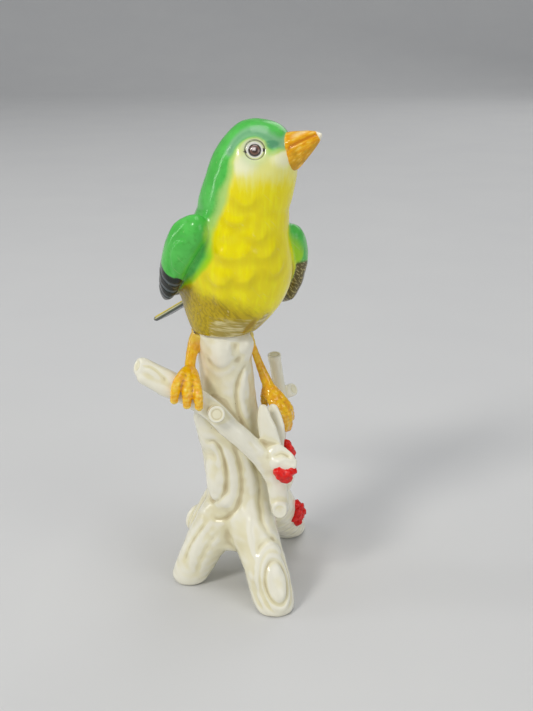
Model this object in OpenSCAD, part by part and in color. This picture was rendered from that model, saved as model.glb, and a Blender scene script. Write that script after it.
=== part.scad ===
// Porcelain figurine: a small finch perched on a tree stump, with branches, leaves and berries.
// Millimetres. The origin is the middle of the figure's box, on the surface that it stands on.
// +Z is up and the stump's front faces -Y. The bird's left is towards +X.
// The figure is built from moulded pieces luted together, so each piece is cut to its host's skin.

/* [Stump] */
// Radius of the trunk at its waist
trunk_r = 9.6; // [9:0.1:10.5]
// Radius of the standing roots at their feet
root_r = 6.8; // [6:0.1:7.5]
// Thickness of the slip-cast wall
wall = 3; // [2:0.25:3.5]
// Diameter of the vent between the stump and the bird
vent_d = 6; // [4:0.5:7]

/* [Branches] */
// Radius of the long branch across the front
branch_r = 3.9; // [3.4:0.1:4.3]
// Radius of the perch branch below the left foot
perch_r = 3.1; // [2.7:0.1:3.5]
// Radius of the short sawn twigs
twig_r = 2.5; // [2:0.1:2.8]

/* [Leaves and berries] */
// Thickness of a pressed leaf
leaf_t = 2.2; // [1.6:0.1:2.8]
// Radius of one berry
berry_r = 1.7; // [1.4:0.1:2]

/* [Bird] */
// Half width of the torso below the wings
torso_r = 19.2; // [18:0.2:20]
// Half width of the head above the cheeks
head_r = 13.2; // [12.6:0.1:13.8]
// Length of the beak from its base to its tip
beak_l = 12; // [10:0.5:13]
// Radius of an eye bead
eye_r = 2.9; // [2.4:0.1:3.2]
// Length of the tail behind the rump
tail_l = 38; // [34:1:40]
// Half width of the tail
tail_r = 5; // [4:0.25:5.5]
// Thickness of the tail feathers
tail_t = 2.2; // [1.8:0.1:2.6]
// Radius of a leg above the ankle
leg_r = 1.7; // [1.4:0.1:2]
// Radius of a toe
toe_r = 1.75; // [1.4:0.05:1.9]

/* [Hidden] */

glaze = [0.90, 0.88, 0.82];
yellow = [0.96, 0.88, 0.05];
green = [0.18, 0.68, 0.30];
orange = [0.93, 0.60, 0.05];
red = [0.85, 0.04, 0.03];
black = [0.04, 0.05, 0.05];

// Side of the blocks that trim pieces at a level
trim = 100;

// The bird's frame: its perch point on the stump and the way that it faces
perch_at = [-1.4, -9.5];
bird_turn = 27;
// The torso's middle, to the bird's left of the perch point
torso_x = 5.3;
// Height of the luted seam between torso and head
neck_z = 137;
// Height where the stump's top ends inside the belly
stump_top = 97;

// Trunk stations: [x, y, z, half width, half depth, turn]
trunk = [
    [3.0, -8.0, 15, trunk_r + 2.2, trunk_r + 0.9, 0],
    [3.8, -7.8, 21, trunk_r + 3.0, trunk_r + 1.9, 0],
    [4.2, -8.0, 29, trunk_r + 2.9, trunk_r + 1.9, 0],
    [3.2, -8.5, 39, trunk_r + 2.2, trunk_r + 1.7, 0],
    [1.6, -9.0, 51, trunk_r + 1.8, trunk_r + 1.4, 0],
    [-0.2, -9.5, 62, trunk_r + 1.8, trunk_r + 1.2, 0],
    [-0.6, -9.5, 70, trunk_r + 0.7, trunk_r + 0.4, 0],
    [-0.5, -9.5, 77, trunk_r, trunk_r - 0.3, 0],
    [-1.4, -9.5, 90, trunk_r - 0.5, trunk_r - 0.6, 0],
    [-1.4, -9.5, stump_top, trunk_r - 0.9, trunk_r - 1.0, 0]
];

// Roots: [x, y, z, radius]
root_front = [
    [6, -13, 30, root_r + 2.4], [10, -20, 20, root_r + 1.4],
    [13.4, -25.5, 11, root_r + 0.9], [15.8, -29.8, 2, root_r + 0.6]
];
root_left = [
    [0, -10, 29, root_r + 2.6], [-6.5, -11, 19.5, root_r + 1.3],
    [-11.6, -11, 10, root_r + 0.4], [-15, -10.6, 2, root_r - 0.3]
];
root_back = [
    [6, -4, 34, root_r + 3], [15, 5, 23, root_r + 1.8],
    [19, 15, 12, root_r + 0.4], [22.6, 25.5, 2, root_r - 0.6]
];
root_sawn = [
    [0.6, -5, 32, root_r + 2], [-4, -2, 24.5, root_r + 1.2], [-9.6, 0.8, 17, root_r + 0.5]
];

// Hollow of the trunk between two heights, and of the roots below it: [x, y, z, radius]
hollow_z = [20, 91];
root_hollow = [[4, -8, 30, root_r - 1], [5, -6, 22, root_r - 2], [5.5, -4.5, 5, root_r - 2]];
// Two bosses under the belly and the lip under the front branch: [x, y, z, radius]
boss_right = [[-1.2, -13.6, 90, 6], [-1.2, -14.2, 86, 5.6]];
boss_left = [[4.6, -13, 92, 4.2], [4.2, -13.2, 88, 4]];
branch_lip = [[-3, -12, 58, 8], [-8.6, -16.4, 67, 3.6]];
// Almond ridge, tall plate and its lower lobe, ring knot of the front root, sawn face:
// [middle, turn, tilt, half width, half height, lean]
knots = [
    [[5.2, -15.6, 75], 28, 0, 2.6, 10, 0],
    [[-4.4, -17.2, 46], -25, 6, 4.6, 12, 0],
    [[-1.2, -17.6, 34.5], -12, -14, 4.6, 6, 0],
    [[13.6, -29.6, 15.5], 14, 22, 6.2, 10.5, 8],
    [[-11.6, 1.4, 18.4], -100, 26, 5, 10, 14]
];

// Front branch, from its split upper end down to its sawn lower end
front_run = [
    [-27.7, -20.5, 85.6, branch_r - 0.4], [-20.6, -21, 81.4, branch_r],
    [-12.3, -22, 76.7, branch_r], [-4.1, -23.4, 70.8, branch_r - 0.1],
    [1.5, -23.6, 64.6, branch_r - 0.3], [7.4, -22.8, 58.6, branch_r - 0.4],
    [12.2, -21.8, 52.8, branch_r - 0.1], [16.2, -20.8, 45, branch_r - 0.2],
    [17.6, -22, 34.8, branch_r - 0.5]
];
front_side_run = [
    [-27.4, -22.4, 82.8, branch_r - 1.5], [-18.5, -23.2, 78.4, branch_r - 1.2],
    [-12, -23.4, 75.5, branch_r - 1.2]
];
stub_run = [[-3.9, -24, 70.8, twig_r + 0.2], [-3.3, -29.2, 72.6, twig_r + 0.4]];

perch_run = [
    [11.6, -10.5, 46, perch_r + 1], [15.4, -12.8, 52, perch_r + 0.7],
    [17.1, -8, 60, perch_r + 0.1], [17.4, -2, 66.2, perch_r - 0.1],
    [17.1, 3, 72.6, perch_r - 0.9], [15.9, 6.6, 79.6, perch_r - 0.9]
];
// Flared cut end of the perch branch
perch_flare = [[15.9, 6.2, 78.8, perch_r - 0.8], [15.8, 6.5, 80.2, perch_r - 0.5]];
side_twig_run = [[17.3, 0, 68, twig_r - 0.3], [22, 4, 68.4, twig_r - 0.1]];

// Leaves: [x, y, z, half width]
leaf_tall_run = [
    [16, -20.8, 53.5, 3.2], [14.4, -20.8, 59.5, 3.8], [12.6, -19.8, 65.8, 3], [11.8, -18.4, 70.4, 1.9]
];
leaf_back_run = [
    [15.6, -16.8, 51, 2.8], [16.2, -16.4, 57, 3.5], [16.2, -15.2, 63.4, 3.3], [15.2, -14, 68.4, 2.2]
];
leaf_folded_run = [
    [13.4, -22.4, 57, 2.6], [16.6, -23.4, 56.4, 3], [19.8, -24, 54.8, 2.4], [22.8, -24.4, 53.4, 0.8]
];
// The half of the folded leaf that hangs from its ridge
leaf_fold_run = [
    [14.6, -24.2, 53, 2.6], [17.4, -25.4, 52.2, 2.9], [20.2, -25.4, 51.4, 2.4], [22.4, -25, 52, 1]
];
leaf_lower_run = [
    [19.6, -17, 49.6, 1.6], [20.8, -16.6, 46.6, 2.4], [21, -16, 42.4, 2], [20.2, -15.6, 38.6, 0.7]
];

// Berry clusters: the middle of each berry
berries_up = [
    [19.8, -14.4, 55], [21.2, -15, 53], [20.4, -16.6, 51.6], [21.6, -13, 51.4],
    [19.8, -13.4, 52.4], [20.8, -16.4, 54.2], [21.4, -14.6, 49.8], [19.8, -15.2, 50]
];
berries_mid = [
    [17, -25.8, 50.6], [18, -26.2, 49.8], [19.2, -26.4, 49.2], [20.2, -26.2, 49.6],
    [21.2, -25.6, 50.4], [18.6, -25.6, 48.4], [19.8, -25.4, 48], [17.8, -25.2, 48.8]
];
berries_low = [
    [24, 6.4, 21.4], [25.4, 7.6, 19.6], [26.2, 8.6, 17.4], [24.6, 5.8, 18.8],
    [25.2, 6.6, 16.2], [24.8, 7.6, 13.8], [25.8, 9.8, 15.2], [23.4, 5.4, 16.4]
];
berry_squash = 0.86;

// Torso and head stations: [x, y, z, half width, half depth, turn]
torso = [
    [-2.3, -9.8, 94, torso_r - 9.6, torso_r - 10, bird_turn],
    [-0.8, -8.6, 97, torso_r - 7, torso_r - 6.6, bird_turn],
    [1.2, -5.6, 104.5, torso_r - 2.6, torso_r - 0.4, bird_turn],
    [2.6, -5.6, 112, torso_r - 0.6, torso_r + 1.2, bird_turn],
    [2.9, -7.0, 118, torso_r - 0.3, torso_r + 1.3, bird_turn],
    [3.5, -8.4, 125, torso_r - 1.7, torso_r - 0.2, bird_turn],
    [4.3, -9.6, 131, torso_r - 3.1, torso_r - 2, bird_turn],
    [5.4, -10.8, 137, torso_r - 4, torso_r - 3.4, bird_turn]
];
head = [
    [5.4, -10.8, 137, torso_r - 4, torso_r - 3.4, bird_turn],
    [6.9, -12, 143, head_r + 2.1, head_r + 1.4, bird_turn],
    [8.5, -13.6, 149, head_r + 1.6, head_r, 20],
    [9.1, -14.4, 154, head_r + 0.3, head_r - 1, 0],
    [9.7, -14.6, 158.4, head_r - 1.7, head_r - 2.7, 0],
    [10.5, -14.6, 162.1, head_r - 4.1, head_r - 5.3, 0],
    [10.2, -14.6, 164.6, head_r - 7.2, head_r - 8.3, 0],
    [9.4, -14.6, 165.7, 1.6, 1.6, 0]
];
// Swelling of the brow and cheek on each side of the face: [x, y, z, radius]
cheek_right = [[14, -20.5, 152.5, 5.2], [9, -21.5, 151, 5.4], [4, -20.6, 149, 5]];
cheek_left = [[15.5, -8, 152.5, 5], [9, -7, 151, 5.4], [4, -8, 149, 5]];
// Tufts of breast feathers: lowest height, half spacing, radius and how far they stand out
tuft_floor = 110;
tuft_gap = 3.4;
tuft_r = 3.6;
tuft_proud = 0.35;
// Rump behind the belly: [x, y, z, radius]
belly_rump = [
    [-2, 1, 109, 12.5], [-7, 9, 106, 8.4], [-10.5, 14.5, 103.4, 4.8]
];

// Hollow of the torso: its size beside the torso's, and the point that it shrinks towards
torso_hollow = 0.82;
torso_middle = [2.6, -7.5, 115];

// Beak: base middle, aim turned from +X about Z, then raised
beak_base = [20.6, -17, 156.2];
beak_turn = -22;
beak_rise = 28;
beak_h = 6.1;
beak_w = 4.9;

eye_at_right = [9.4, -24.6, 157.4];
eye_at_left = [16.6, -6.9, 157.4];

// Tail: where it leaves the rump, its way back and its fall
tail_at = [-7.4, 8.5, 104.6];
tail_turn = 37;
tail_fall = 29;
tail_roll = -12;

// Wing stations to one side: [out, back, z, half thickness, half height, lean]
wing_run = [
    [18.3, -8.4, 131.8, 4, 5.6, 6], [21.8, -4, 126.4, 4.6, 9, 6], [22.4, 2.4, 118, 4, 10.4, 8],
    [19.6, 10, 113.5, 3.4, 8.4, 18], [14.2, 17.5, 110, 2.8, 6.8, 30], [8.4, 24.5, 106, 2.2, 4.6, 36],
    [4, 31, 102.4, 1.4, 2.4, 40]
];
// How much lower and nearer to the body the left wing sits
left_wing_drop = 6.2;
left_wing_in = 2.2;

leg_right_run = [
    [-9.6, -10.4, 96, leg_r + 1], [-11.4, -12, 91, leg_r + 0.6],
    [-12.3, -15.6, 87.2, leg_r + 0.3], [-12.5, -18.2, 84.6, leg_r + 0.3]
];
leg_left_run = [
    [6.6, -8, 96, leg_r], [8.3, -6.8, 88.6, leg_r - 0.3],
    [11.2, -6.8, 80.4, leg_r], [13.4, -7.6, 75, leg_r + 0.5]
];
toes_right = [
    [[-12.6, -18.6, 84.4, toe_r + 0.4], [-14.6, -22.6, 84.2, toe_r],
        [-16.6, -26.2, 81.2, toe_r], [-17.2, -27.2, 76.6, toe_r - 0.1]],
    [[-12.3, -18.8, 84.2, toe_r + 0.5], [-12.4, -23.2, 83.2, toe_r],
        [-12.9, -27, 79.8, toe_r], [-13, -28, 75.2, toe_r - 0.1]],
    [[-11.8, -18.8, 83.8, toe_r + 0.4], [-10.2, -23.4, 82, toe_r],
        [-9.2, -27.8, 78.6, toe_r], [-9, -28.6, 74.8, toe_r - 0.1]],
    [[-12.6, -18.4, 83.6, toe_r + 0.2], [-13.4, -16.4, 80.6, toe_r - 0.2],
        [-13.8, -16.6, 77, toe_r - 0.4]]
];
toes_left = [
    [[13.6, -7.8, 74.4, toe_r + 0.6], [17.6, -8.8, 70.6, toe_r + 0.2],
        [20.8, -8.4, 66.4, toe_r], [21.6, -6.4, 62, toe_r - 0.2]],
    [[13.8, -8.2, 73.6, toe_r + 0.6], [17, -10.4, 69, toe_r + 0.3],
        [20.6, -10.4, 64.4, toe_r], [20.6, -9.4, 59.4, toe_r - 0.2]],
    [[13.6, -8.4, 73, toe_r + 0.5], [15.8, -11.4, 68.6, toe_r + 0.2],
        [18.8, -12.4, 64.4, toe_r], [19.6, -11.6, 60.4, toe_r - 0.2]],
    [[13.2, -7.8, 73.6, toe_r + 0.4], [12.2, -7, 70, toe_r - 0.1],
        [12.4, -5.4, 66.6, toe_r - 0.3]]
];

// Point between b and c on the smooth curve through a, b, c and d
function between(a, b, c, d, t) =
    (2 * b + (c - a) * t + (2 * a - 5 * b + 4 * c - d) * t * t
    + (3 * b - a - 3 * c + d) * t * t * t) / 2;
function at(list, i) = list[max(0, min(len(list) - 1, i))];
// Smooth run through the stations, with the same number of steps to each span
function smooth_run(stations, steps) = [
    for (i = [0 : len(stations) - 2], k = [0 : steps - 1])
        between(at(stations, i - 1), at(stations, i), at(stations, i + 1), at(stations, i + 2), k / steps),
    stations[len(stations) - 1]
];
// One level oval ring of a station
function oval(s, inset, sides) = [
    for (k = [0 : sides - 1])
        let (
            a = 360 * k / sides,
            u = (s[3] - inset) * cos(a),
            v = (s[4] - inset) * sin(a)
        )
        [s[0] + u * cos(s[5]) - v * sin(s[5]), s[1] + u * sin(s[5]) + v * cos(s[5]), s[2]]
];

// Closed skin over level oval stations, flat at both ends
module oval_skin(stations, steps = 2, inset = 0, sides = 26) {
    rings = smooth_run(stations, steps);
    last = (len(rings) - 1) * sides;
    points = [for (s = rings) each oval(s, inset, sides)];
    walls = [
        for (i = [0 : len(rings) - 2], k = [0 : sides - 1])
            let (a = i * sides + k, b = i * sides + (k + 1) % sides)
            each [[a, a + sides, b], [b, a + sides, b + sides]]
    ];
    floor_face = [for (k = [0 : sides - 1]) k];
    roof_face = [for (k = [0 : sides - 1]) last + sides - 1 - k];
    polyhedron(points, concat([floor_face, roof_face], walls));
}

// Round limb through stations [x, y, z, radius]
module limb(stations, steps = 2, inset = 0, facets = 14) {
    run = smooth_run(stations, steps);
    for (i = [1 : len(run) - 1])
        hull()
            for (s = [run[i - 1], run[i]])
                translate([s[0], s[1], s[2]])
                    sphere(r = s[3] - inset, $fn = facets);
}

// Thin blade through stations [x, y, z, half width], its face turned about Z
module blade(stations, thickness, turn, tilt = 0, facets = 10) {
    run = smooth_run(stations, 3);
    for (i = [1 : len(run) - 1])
        hull()
            for (s = [run[i - 1], run[i]])
                translate([s[0], s[1], s[2]])
                    rotate([tilt, 0, turn])
                        scale([s[3], thickness / 2, s[3]])
                            sphere(r = 1, $fn = facets);
}

// Raised oval knot: a rim and a plate on it, facing turn about Z and rising by tilt
module knot(centre, turn, tilt, half_w, half_h, lean) {
    rim_h = 1.2;
    plate_h = 2;
    plate_share = 0.7;
    top_share = 0.85;
    sunk = 3;
    translate(centre)
        rotate([90 - tilt, lean, turn])
            for (layer = [[1, rim_h], [plate_share, plate_h]])
                hull() {
                    translate([0, 0, -sunk])
                        scale([half_w * layer[0], half_h * layer[0], 1])
                            cylinder(r = 1, h = 1, $fn = 20);
                    scale([half_w * layer[0] * top_share, half_h * layer[0] * top_share, 1])
                        cylinder(r = 1, h = layer[1], $fn = 20);
                }
}

// Into the bird's own frame
module bird_frame()
    translate([perch_at.x, perch_at.y, 0])
        rotate([0, 0, bird_turn])
            children();

module above_ground()
    intersection() {
        children();
        translate([-trim / 2, -trim / 2, 0])
            cube([trim, trim, 2 * trim]);
    }

module stump_form() {
    above_ground()
        union() {
            oval_skin(trunk);
            limb(root_front);
            limb(root_left);
            limb(root_back);
            limb(root_sawn);
            limb(boss_right, 1);
            limb(boss_left, 1);
            limb(branch_lip, 1);
            for (k = knots)
                knot(k[0], k[1], k[2], k[3], k[4], k[5]);
        }
}
module stump() color(glaze)
    difference() {
        stump_form();
        oval_skin([for (s = trunk) if (s[2] > hollow_z[0] && s[2] < hollow_z[1]) s], 2, wall);
        limb(root_hollow, 1);
        translate([perch_at.x, perch_at.y, stump_top - 12])
            cylinder(d = vent_d, h = 16, $fn = 24);
    }

module front_branch_form() {
    limb(front_run, 2);
    limb(front_side_run, 2);
}
module front_branch() color(glaze)
    difference() {
        front_branch_form();
        stump_form();
    }

module branch_stub() color(glaze)
    difference() {
        limb(stub_run, 8, 0, 12);
        front_branch_form();
    }

module perch_branch_form() {
    limb(perch_run, 3);
    limb(perch_flare, 1);
}
module perch_branch() color(glaze)
    difference() {
        perch_branch_form();
        stump_form();
        front_branch_form();
    }

module perch_side_twig() color(glaze)
    difference() {
        limb(side_twig_run, 8, 0, 12);
        perch_branch_form();
    }

module leaf_tall_form() blade(leaf_tall_run, leaf_t, 4);
module leaf_tall() color(glaze)
    difference() {
        leaf_tall_form();
        stump_form();
        front_branch_form();
        perch_branch_form();
    }
module leaf_back_form() blade(leaf_back_run, leaf_t, -18);
module leaf_back() color(glaze)
    difference() {
        leaf_back_form();
        perch_branch_form();
        front_branch_form();
        leaf_tall_form();
        stump_form();
    }
module leaf_folded_form() {
    blade(leaf_folded_run, leaf_t, 6, -45);
    blade(leaf_fold_run, leaf_t, 6, 10);
}
module leaf_folded() color(glaze)
    difference() {
        leaf_folded_form();
        front_branch_form();
        leaf_tall_form();
        leaf_back_form();
    }
module leaf_lower_form() blade(leaf_lower_run, leaf_t, 40);
module leaf_lower() color(glaze)
    difference() {
        leaf_lower_form();
        front_branch_form();
        leaf_folded_form();
        leaf_back_form();
        perch_branch_form();
    }

// Cluster of slightly flattened berries
module berries(middles)
    for (m = middles)
        hull()
            for (end = [-1, 1])
                translate(m + [0, 0, end * berry_r * (1 - berry_squash)])
                    sphere(r = berry_r * berry_squash, $fn = 8);
module berries_upper() color(red)
    difference() {
        berries(berries_up);
        leaf_back_form();
        leaf_lower_form();
        perch_branch_form();
        front_branch_form();
    }
module berries_middle() color(red)
    difference() {
        berries(berries_mid);
        leaf_folded_form();
        front_branch_form();
        leaf_lower_form();
    }
module berries_lower() color(red)
    difference() {
        berries(berries_low);
        stump_form();
    }

module torso_form() {
    oval_skin(torso, 2);
    limb(belly_rump, 2, 0, 20);
    // soft tufts of breast feathers
    for (s = torso, side = [-1, 1])
        if (s[2] > tuft_floor)
            hull()
                for (drop = [0, 1])
                    translate([
                        s[0] + side * tuft_gap,
                        s[1] - s[4] + tuft_r - tuft_proud + drop * 0.4,
                        s[2] - drop * 2
                    ])
                        sphere(r = tuft_r, $fn = 14);
}
module torso_cavity()
    translate(torso_middle)
        scale(torso_hollow)
            translate(-torso_middle)
                oval_skin(torso, 2);
module bird_body() color(yellow)
    difference() {
        torso_form();
        torso_cavity();
        stump_form();
        translate([perch_at.x, perch_at.y, stump_top - 1])
            cylinder(d = vent_d, h = 8, $fn = 24);
        translate([-trim / 2, -trim / 2, neck_z])
            cube([trim, trim, trim]);
    }

module head_form() {
    oval_skin(head, 2);
    limb(cheek_right, 2, 0, 16);
    limb(cheek_left, 2, 0, 16);
}
module bird_head() color(green)
    difference() {
        head_form();
        translate([-trim / 2, -trim / 2, neck_z - trim])
            cube([trim, trim, trim]);
        for (eye = [eye_at_right, eye_at_left])
            translate(eye)
                sphere(r = eye_r, $fn = 24);
    }

// Share of the beak's girth left at a share of the way to its tip: between a cone and an arch
function beak_girth(share) = sqrt(1 - share) * 0.45 + (1 - share) * 0.55;
module beak() color(orange) {
    steps = 8;
    tip_r = 0.5;
    difference() {
        translate(beak_base)
            rotate([0, -beak_rise, beak_turn])
                for (k = [0 : steps - 1])
                    hull()
                        for (share = [k / steps, (k + 1) / steps])
                            translate([beak_l * share - 1, 0, 0])
                                scale([
                                    1,
                                    beak_w * beak_girth(share) + tip_r,
                                    beak_h * beak_girth(share) + tip_r
                                ])
                                    sphere(r = 1, $fn = 16);
        head_form();
    }
}

module eye(centre) color(black)
    translate(centre)
        sphere(r = eye_r, $fn = 24);
module eye_right() eye(eye_at_right);
module eye_left() eye(eye_at_left);

// Folded wing to one side: -1 is the bird's right
module wing_form(side, drop, inward) {
    run = smooth_run(wing_run, 2);
    bird_frame()
        for (i = [1 : len(run) - 1])
            hull()
                for (s = [run[i - 1], run[i]])
                    translate([torso_x + side * (s[0] - inward), s[1], s[2] - drop])
                        rotate([0, -side * s[5], 0])
                            scale([s[3], s[3], s[4]])
                                sphere(r = 1, $fn = 14);
}
module wing_right() color(green)
    difference() {
        wing_form(-1, 0, 0);
        torso_form();
    }
module wing_left() color(green)
    difference() {
        wing_form(1, left_wing_drop, left_wing_in);
        torso_form();
    }

module tail_form() {
    feathers = 8;
    edge_r = 1.3;
    root_share = 0.55;
    rounding = 1.6;
    translate(tail_at)
        rotate([0, 0, tail_turn])
            rotate([-tail_fall, 0, 0])
                rotate([0, tail_roll, 0])
                    for (k = [0 : feathers - 1])
                        hull()
                            for (end = [0, 1])
                                let (spread = (k / (feathers - 1) - 0.5) * 2)
                                translate([
                                    spread * (end == 0 ? tail_r * root_share : tail_r - edge_r),
                                    end * (tail_l - edge_r - abs(spread) * rounding),
                                    0
                                ])
                                    scale([1, 1, tail_t / 2 / edge_r])
                                        sphere(r = edge_r, $fn = 8);
}
module tail() color(black)
    difference() {
        tail_form();
        torso_form();
        wing_form(-1, 0, 0);
        wing_form(1, left_wing_drop, left_wing_in);
    }

module leg_right_form() limb(leg_right_run, 3, 0, 10);
module leg_right() color(orange)
    difference() {
        leg_right_form();
        torso_form();
        stump_form();
    }
module leg_left_form() limb(leg_left_run, 3, 0, 10);
module leg_left() color(orange)
    difference() {
        leg_left_form();
        torso_form();
        stump_form();
        perch_branch_form();
    }
module foot_right() color(orange)
    difference() {
        for (toe = toes_right)
            limb(toe, 2, 0, 8);
        front_branch_form();
        leg_right_form();
        stump_form();
    }
module foot_left() color(orange)
    difference() {
        for (toe = toes_left)
            limb(toe, 2, 0, 8);
        perch_branch_form();
        leg_left_form();
        leaf_tall_form();
        leaf_back_form();
        stump_form();
    }

stump();
front_branch();
branch_stub();
perch_branch();
perch_side_twig();
leaf_tall();
leaf_back();
leaf_folded();
leaf_lower();
berries_upper();
berries_middle();
berries_lower();
bird_body();
bird_head();
beak();
eye_right();
eye_left();
wing_right();
wing_left();
tail();
leg_right();
leg_left();
foot_right();
foot_left();
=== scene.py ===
"""Finishes a porcelain bird on a tree stump: carves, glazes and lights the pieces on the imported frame."""

import json
import math

import bpy
import numpy as np
import openvdb as vdb
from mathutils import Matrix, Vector


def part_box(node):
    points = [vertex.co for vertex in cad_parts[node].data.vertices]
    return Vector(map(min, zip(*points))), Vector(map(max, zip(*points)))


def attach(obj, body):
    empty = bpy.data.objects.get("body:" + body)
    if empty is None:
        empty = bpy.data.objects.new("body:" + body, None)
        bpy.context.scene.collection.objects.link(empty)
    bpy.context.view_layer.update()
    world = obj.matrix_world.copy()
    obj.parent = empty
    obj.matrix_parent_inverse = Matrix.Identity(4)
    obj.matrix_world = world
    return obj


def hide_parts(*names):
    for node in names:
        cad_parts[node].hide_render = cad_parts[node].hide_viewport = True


bl_info = {
    "name": "Bird figurine finish",
    "version": (1, 0, 0),
    "blender": (4, 5, 0),
    "location": "View3D > Sidebar > Figurine",
    "description": "Carves, glazes and lights a porcelain bird on a tree stump",
    "category": "Object",
}

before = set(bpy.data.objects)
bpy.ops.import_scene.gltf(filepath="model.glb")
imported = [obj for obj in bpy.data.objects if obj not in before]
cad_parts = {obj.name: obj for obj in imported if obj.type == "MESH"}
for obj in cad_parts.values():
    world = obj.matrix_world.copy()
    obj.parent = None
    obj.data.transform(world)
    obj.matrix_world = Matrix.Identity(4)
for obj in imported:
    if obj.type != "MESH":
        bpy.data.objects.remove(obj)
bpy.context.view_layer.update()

# Everything is worked out in millimetres and written to the meshes in metres.
MM = 0.001
BODY = "root"

STUMP_PARTS = ("stump", "front_branch", "branch_stub", "perch_branch", "perch_side_twig",
               "leaf_tall", "leaf_back", "leaf_folded", "leaf_lower")
BIRD_PARTS = ("bird_body", "bird_head", "wing_right", "wing_left")
LEG_PARTS = (("leg_right", "foot_right"), ("leg_left", "foot_left"))
BIRD = ("bird_body", "bird_head")

# Lowest and highest corner of every CAD node, in mm.
BOXES = {node: np.array([list(corner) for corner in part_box(node)]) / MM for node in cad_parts}


# ---------------------------------------------------------------- numbers and directions

def step(values, low, high):
    """Rises smoothly from 0 at low to 1 at high."""
    share = np.clip((values - low) / (high - low), 0.0, 1.0)
    return share * share * (3.0 - 2.0 * share)


def unit(vector):
    """The vector, or each row of an array, at length 1."""
    vector = np.asarray(vector, float)
    return vector / np.maximum(np.linalg.norm(vector, axis=-1, keepdims=True), 1e-9)


def spot(nodes, x, y, z):
    """The point, in mm, at these shares of the box round one node or several."""
    nodes = (nodes,) if isinstance(nodes, str) else nodes
    low = np.min([BOXES[node][0] for node in nodes], axis=0)
    high = np.max([BOXES[node][1] for node in nodes], axis=0)
    return low + (high - low) * np.array((x, y, z))


def ahead(heading):
    """The level direction of a heading in degrees: 0 faces the front, 90 faces +X."""
    turn = math.radians(heading)
    return np.array((math.sin(turn), -math.cos(turn), 0.0))


def smooth_line(points, parts=5):
    """A rounder line through the same points."""
    points = np.asarray(points, float)
    ends = np.vstack([2 * points[0] - points[1], points, 2 * points[-1] - points[-2]])
    line = []
    for before, start, end, after in zip(ends, ends[1:], ends[2:], ends[3:]):
        for share in np.arange(parts) / parts:
            line.append(0.5 * (2 * start + (end - before) * share
                               + (2 * before - 5 * start + 4 * end - after) * share ** 2
                               + (3 * start - before - 3 * end + after) * share ** 3))
    return np.array(line + [points[-1]])


def beside_line(points, line):
    """How far each point is from a line of points, and how far along the nearest place is, 0 to 1."""
    nearest = np.full(len(points), np.inf)
    along = np.zeros(len(points))
    for index, (start, end) in enumerate(zip(line, line[1:])):
        side = end - start
        share = np.clip((points - start) @ side / (side @ side), 0.0, 1.0)
        distance = np.linalg.norm(points - start - share[:, None] * side, axis=1)
        closer = distance < nearest
        nearest[closer] = distance[closer]
        along[closer] = (index + share[closer]) / (len(line) - 1)
    return nearest, along


def blob(points, centre, radii, edge=0.5):
    """1 inside a soft egg shape and 0 outside it; edge is the share of the radius that fades."""
    distance = np.linalg.norm((points - centre) / np.asarray(radii, float), axis=1)
    return step(-distance, -1.0, -1.0 + edge)


def ripple(points, size, seed):
    """Smooth wavy noise between about -1 and 1, with waves about that size in mm."""
    random = np.random.default_rng(seed)
    total = np.zeros(len(points))
    for _ in range(7):
        direction = unit(random.normal(size=3)) * 2 * math.pi / (size * random.uniform(0.7, 1.5))
        total += np.sin(points @ direction + random.uniform(0, 2 * math.pi))
    return total / 3.5


# ---------------------------------------------------------------- distance blocks

def blurred(field, sigma):
    """The field averaged over a bell-shaped neighbourhood, sigma in samples."""
    reach = int(math.ceil(2.5 * sigma))
    weights = np.exp(-0.5 * (np.arange(-reach, reach + 1) / sigma) ** 2)
    weights /= weights.sum()
    for axis in range(3):
        moved = np.moveaxis(field, axis, 0)
        padded = np.pad(moved, [(reach, reach), (0, 0), (0, 0)], mode="edge")
        total = np.zeros_like(moved)
        for index, weight in enumerate(weights):
            total += np.float32(weight) * padded[index:index + len(moved)]
        field = np.moveaxis(total, 0, axis)
    return np.ascontiguousarray(field)


def soft_union(first, second, width):
    """The nearer of two distances, with the crease between them filled over that width."""
    share = np.clip(0.5 + 0.5 * (second - first) / width, 0.0, 1.0)
    return second + (first - second) * share - width * share * (1.0 - share)


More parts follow.
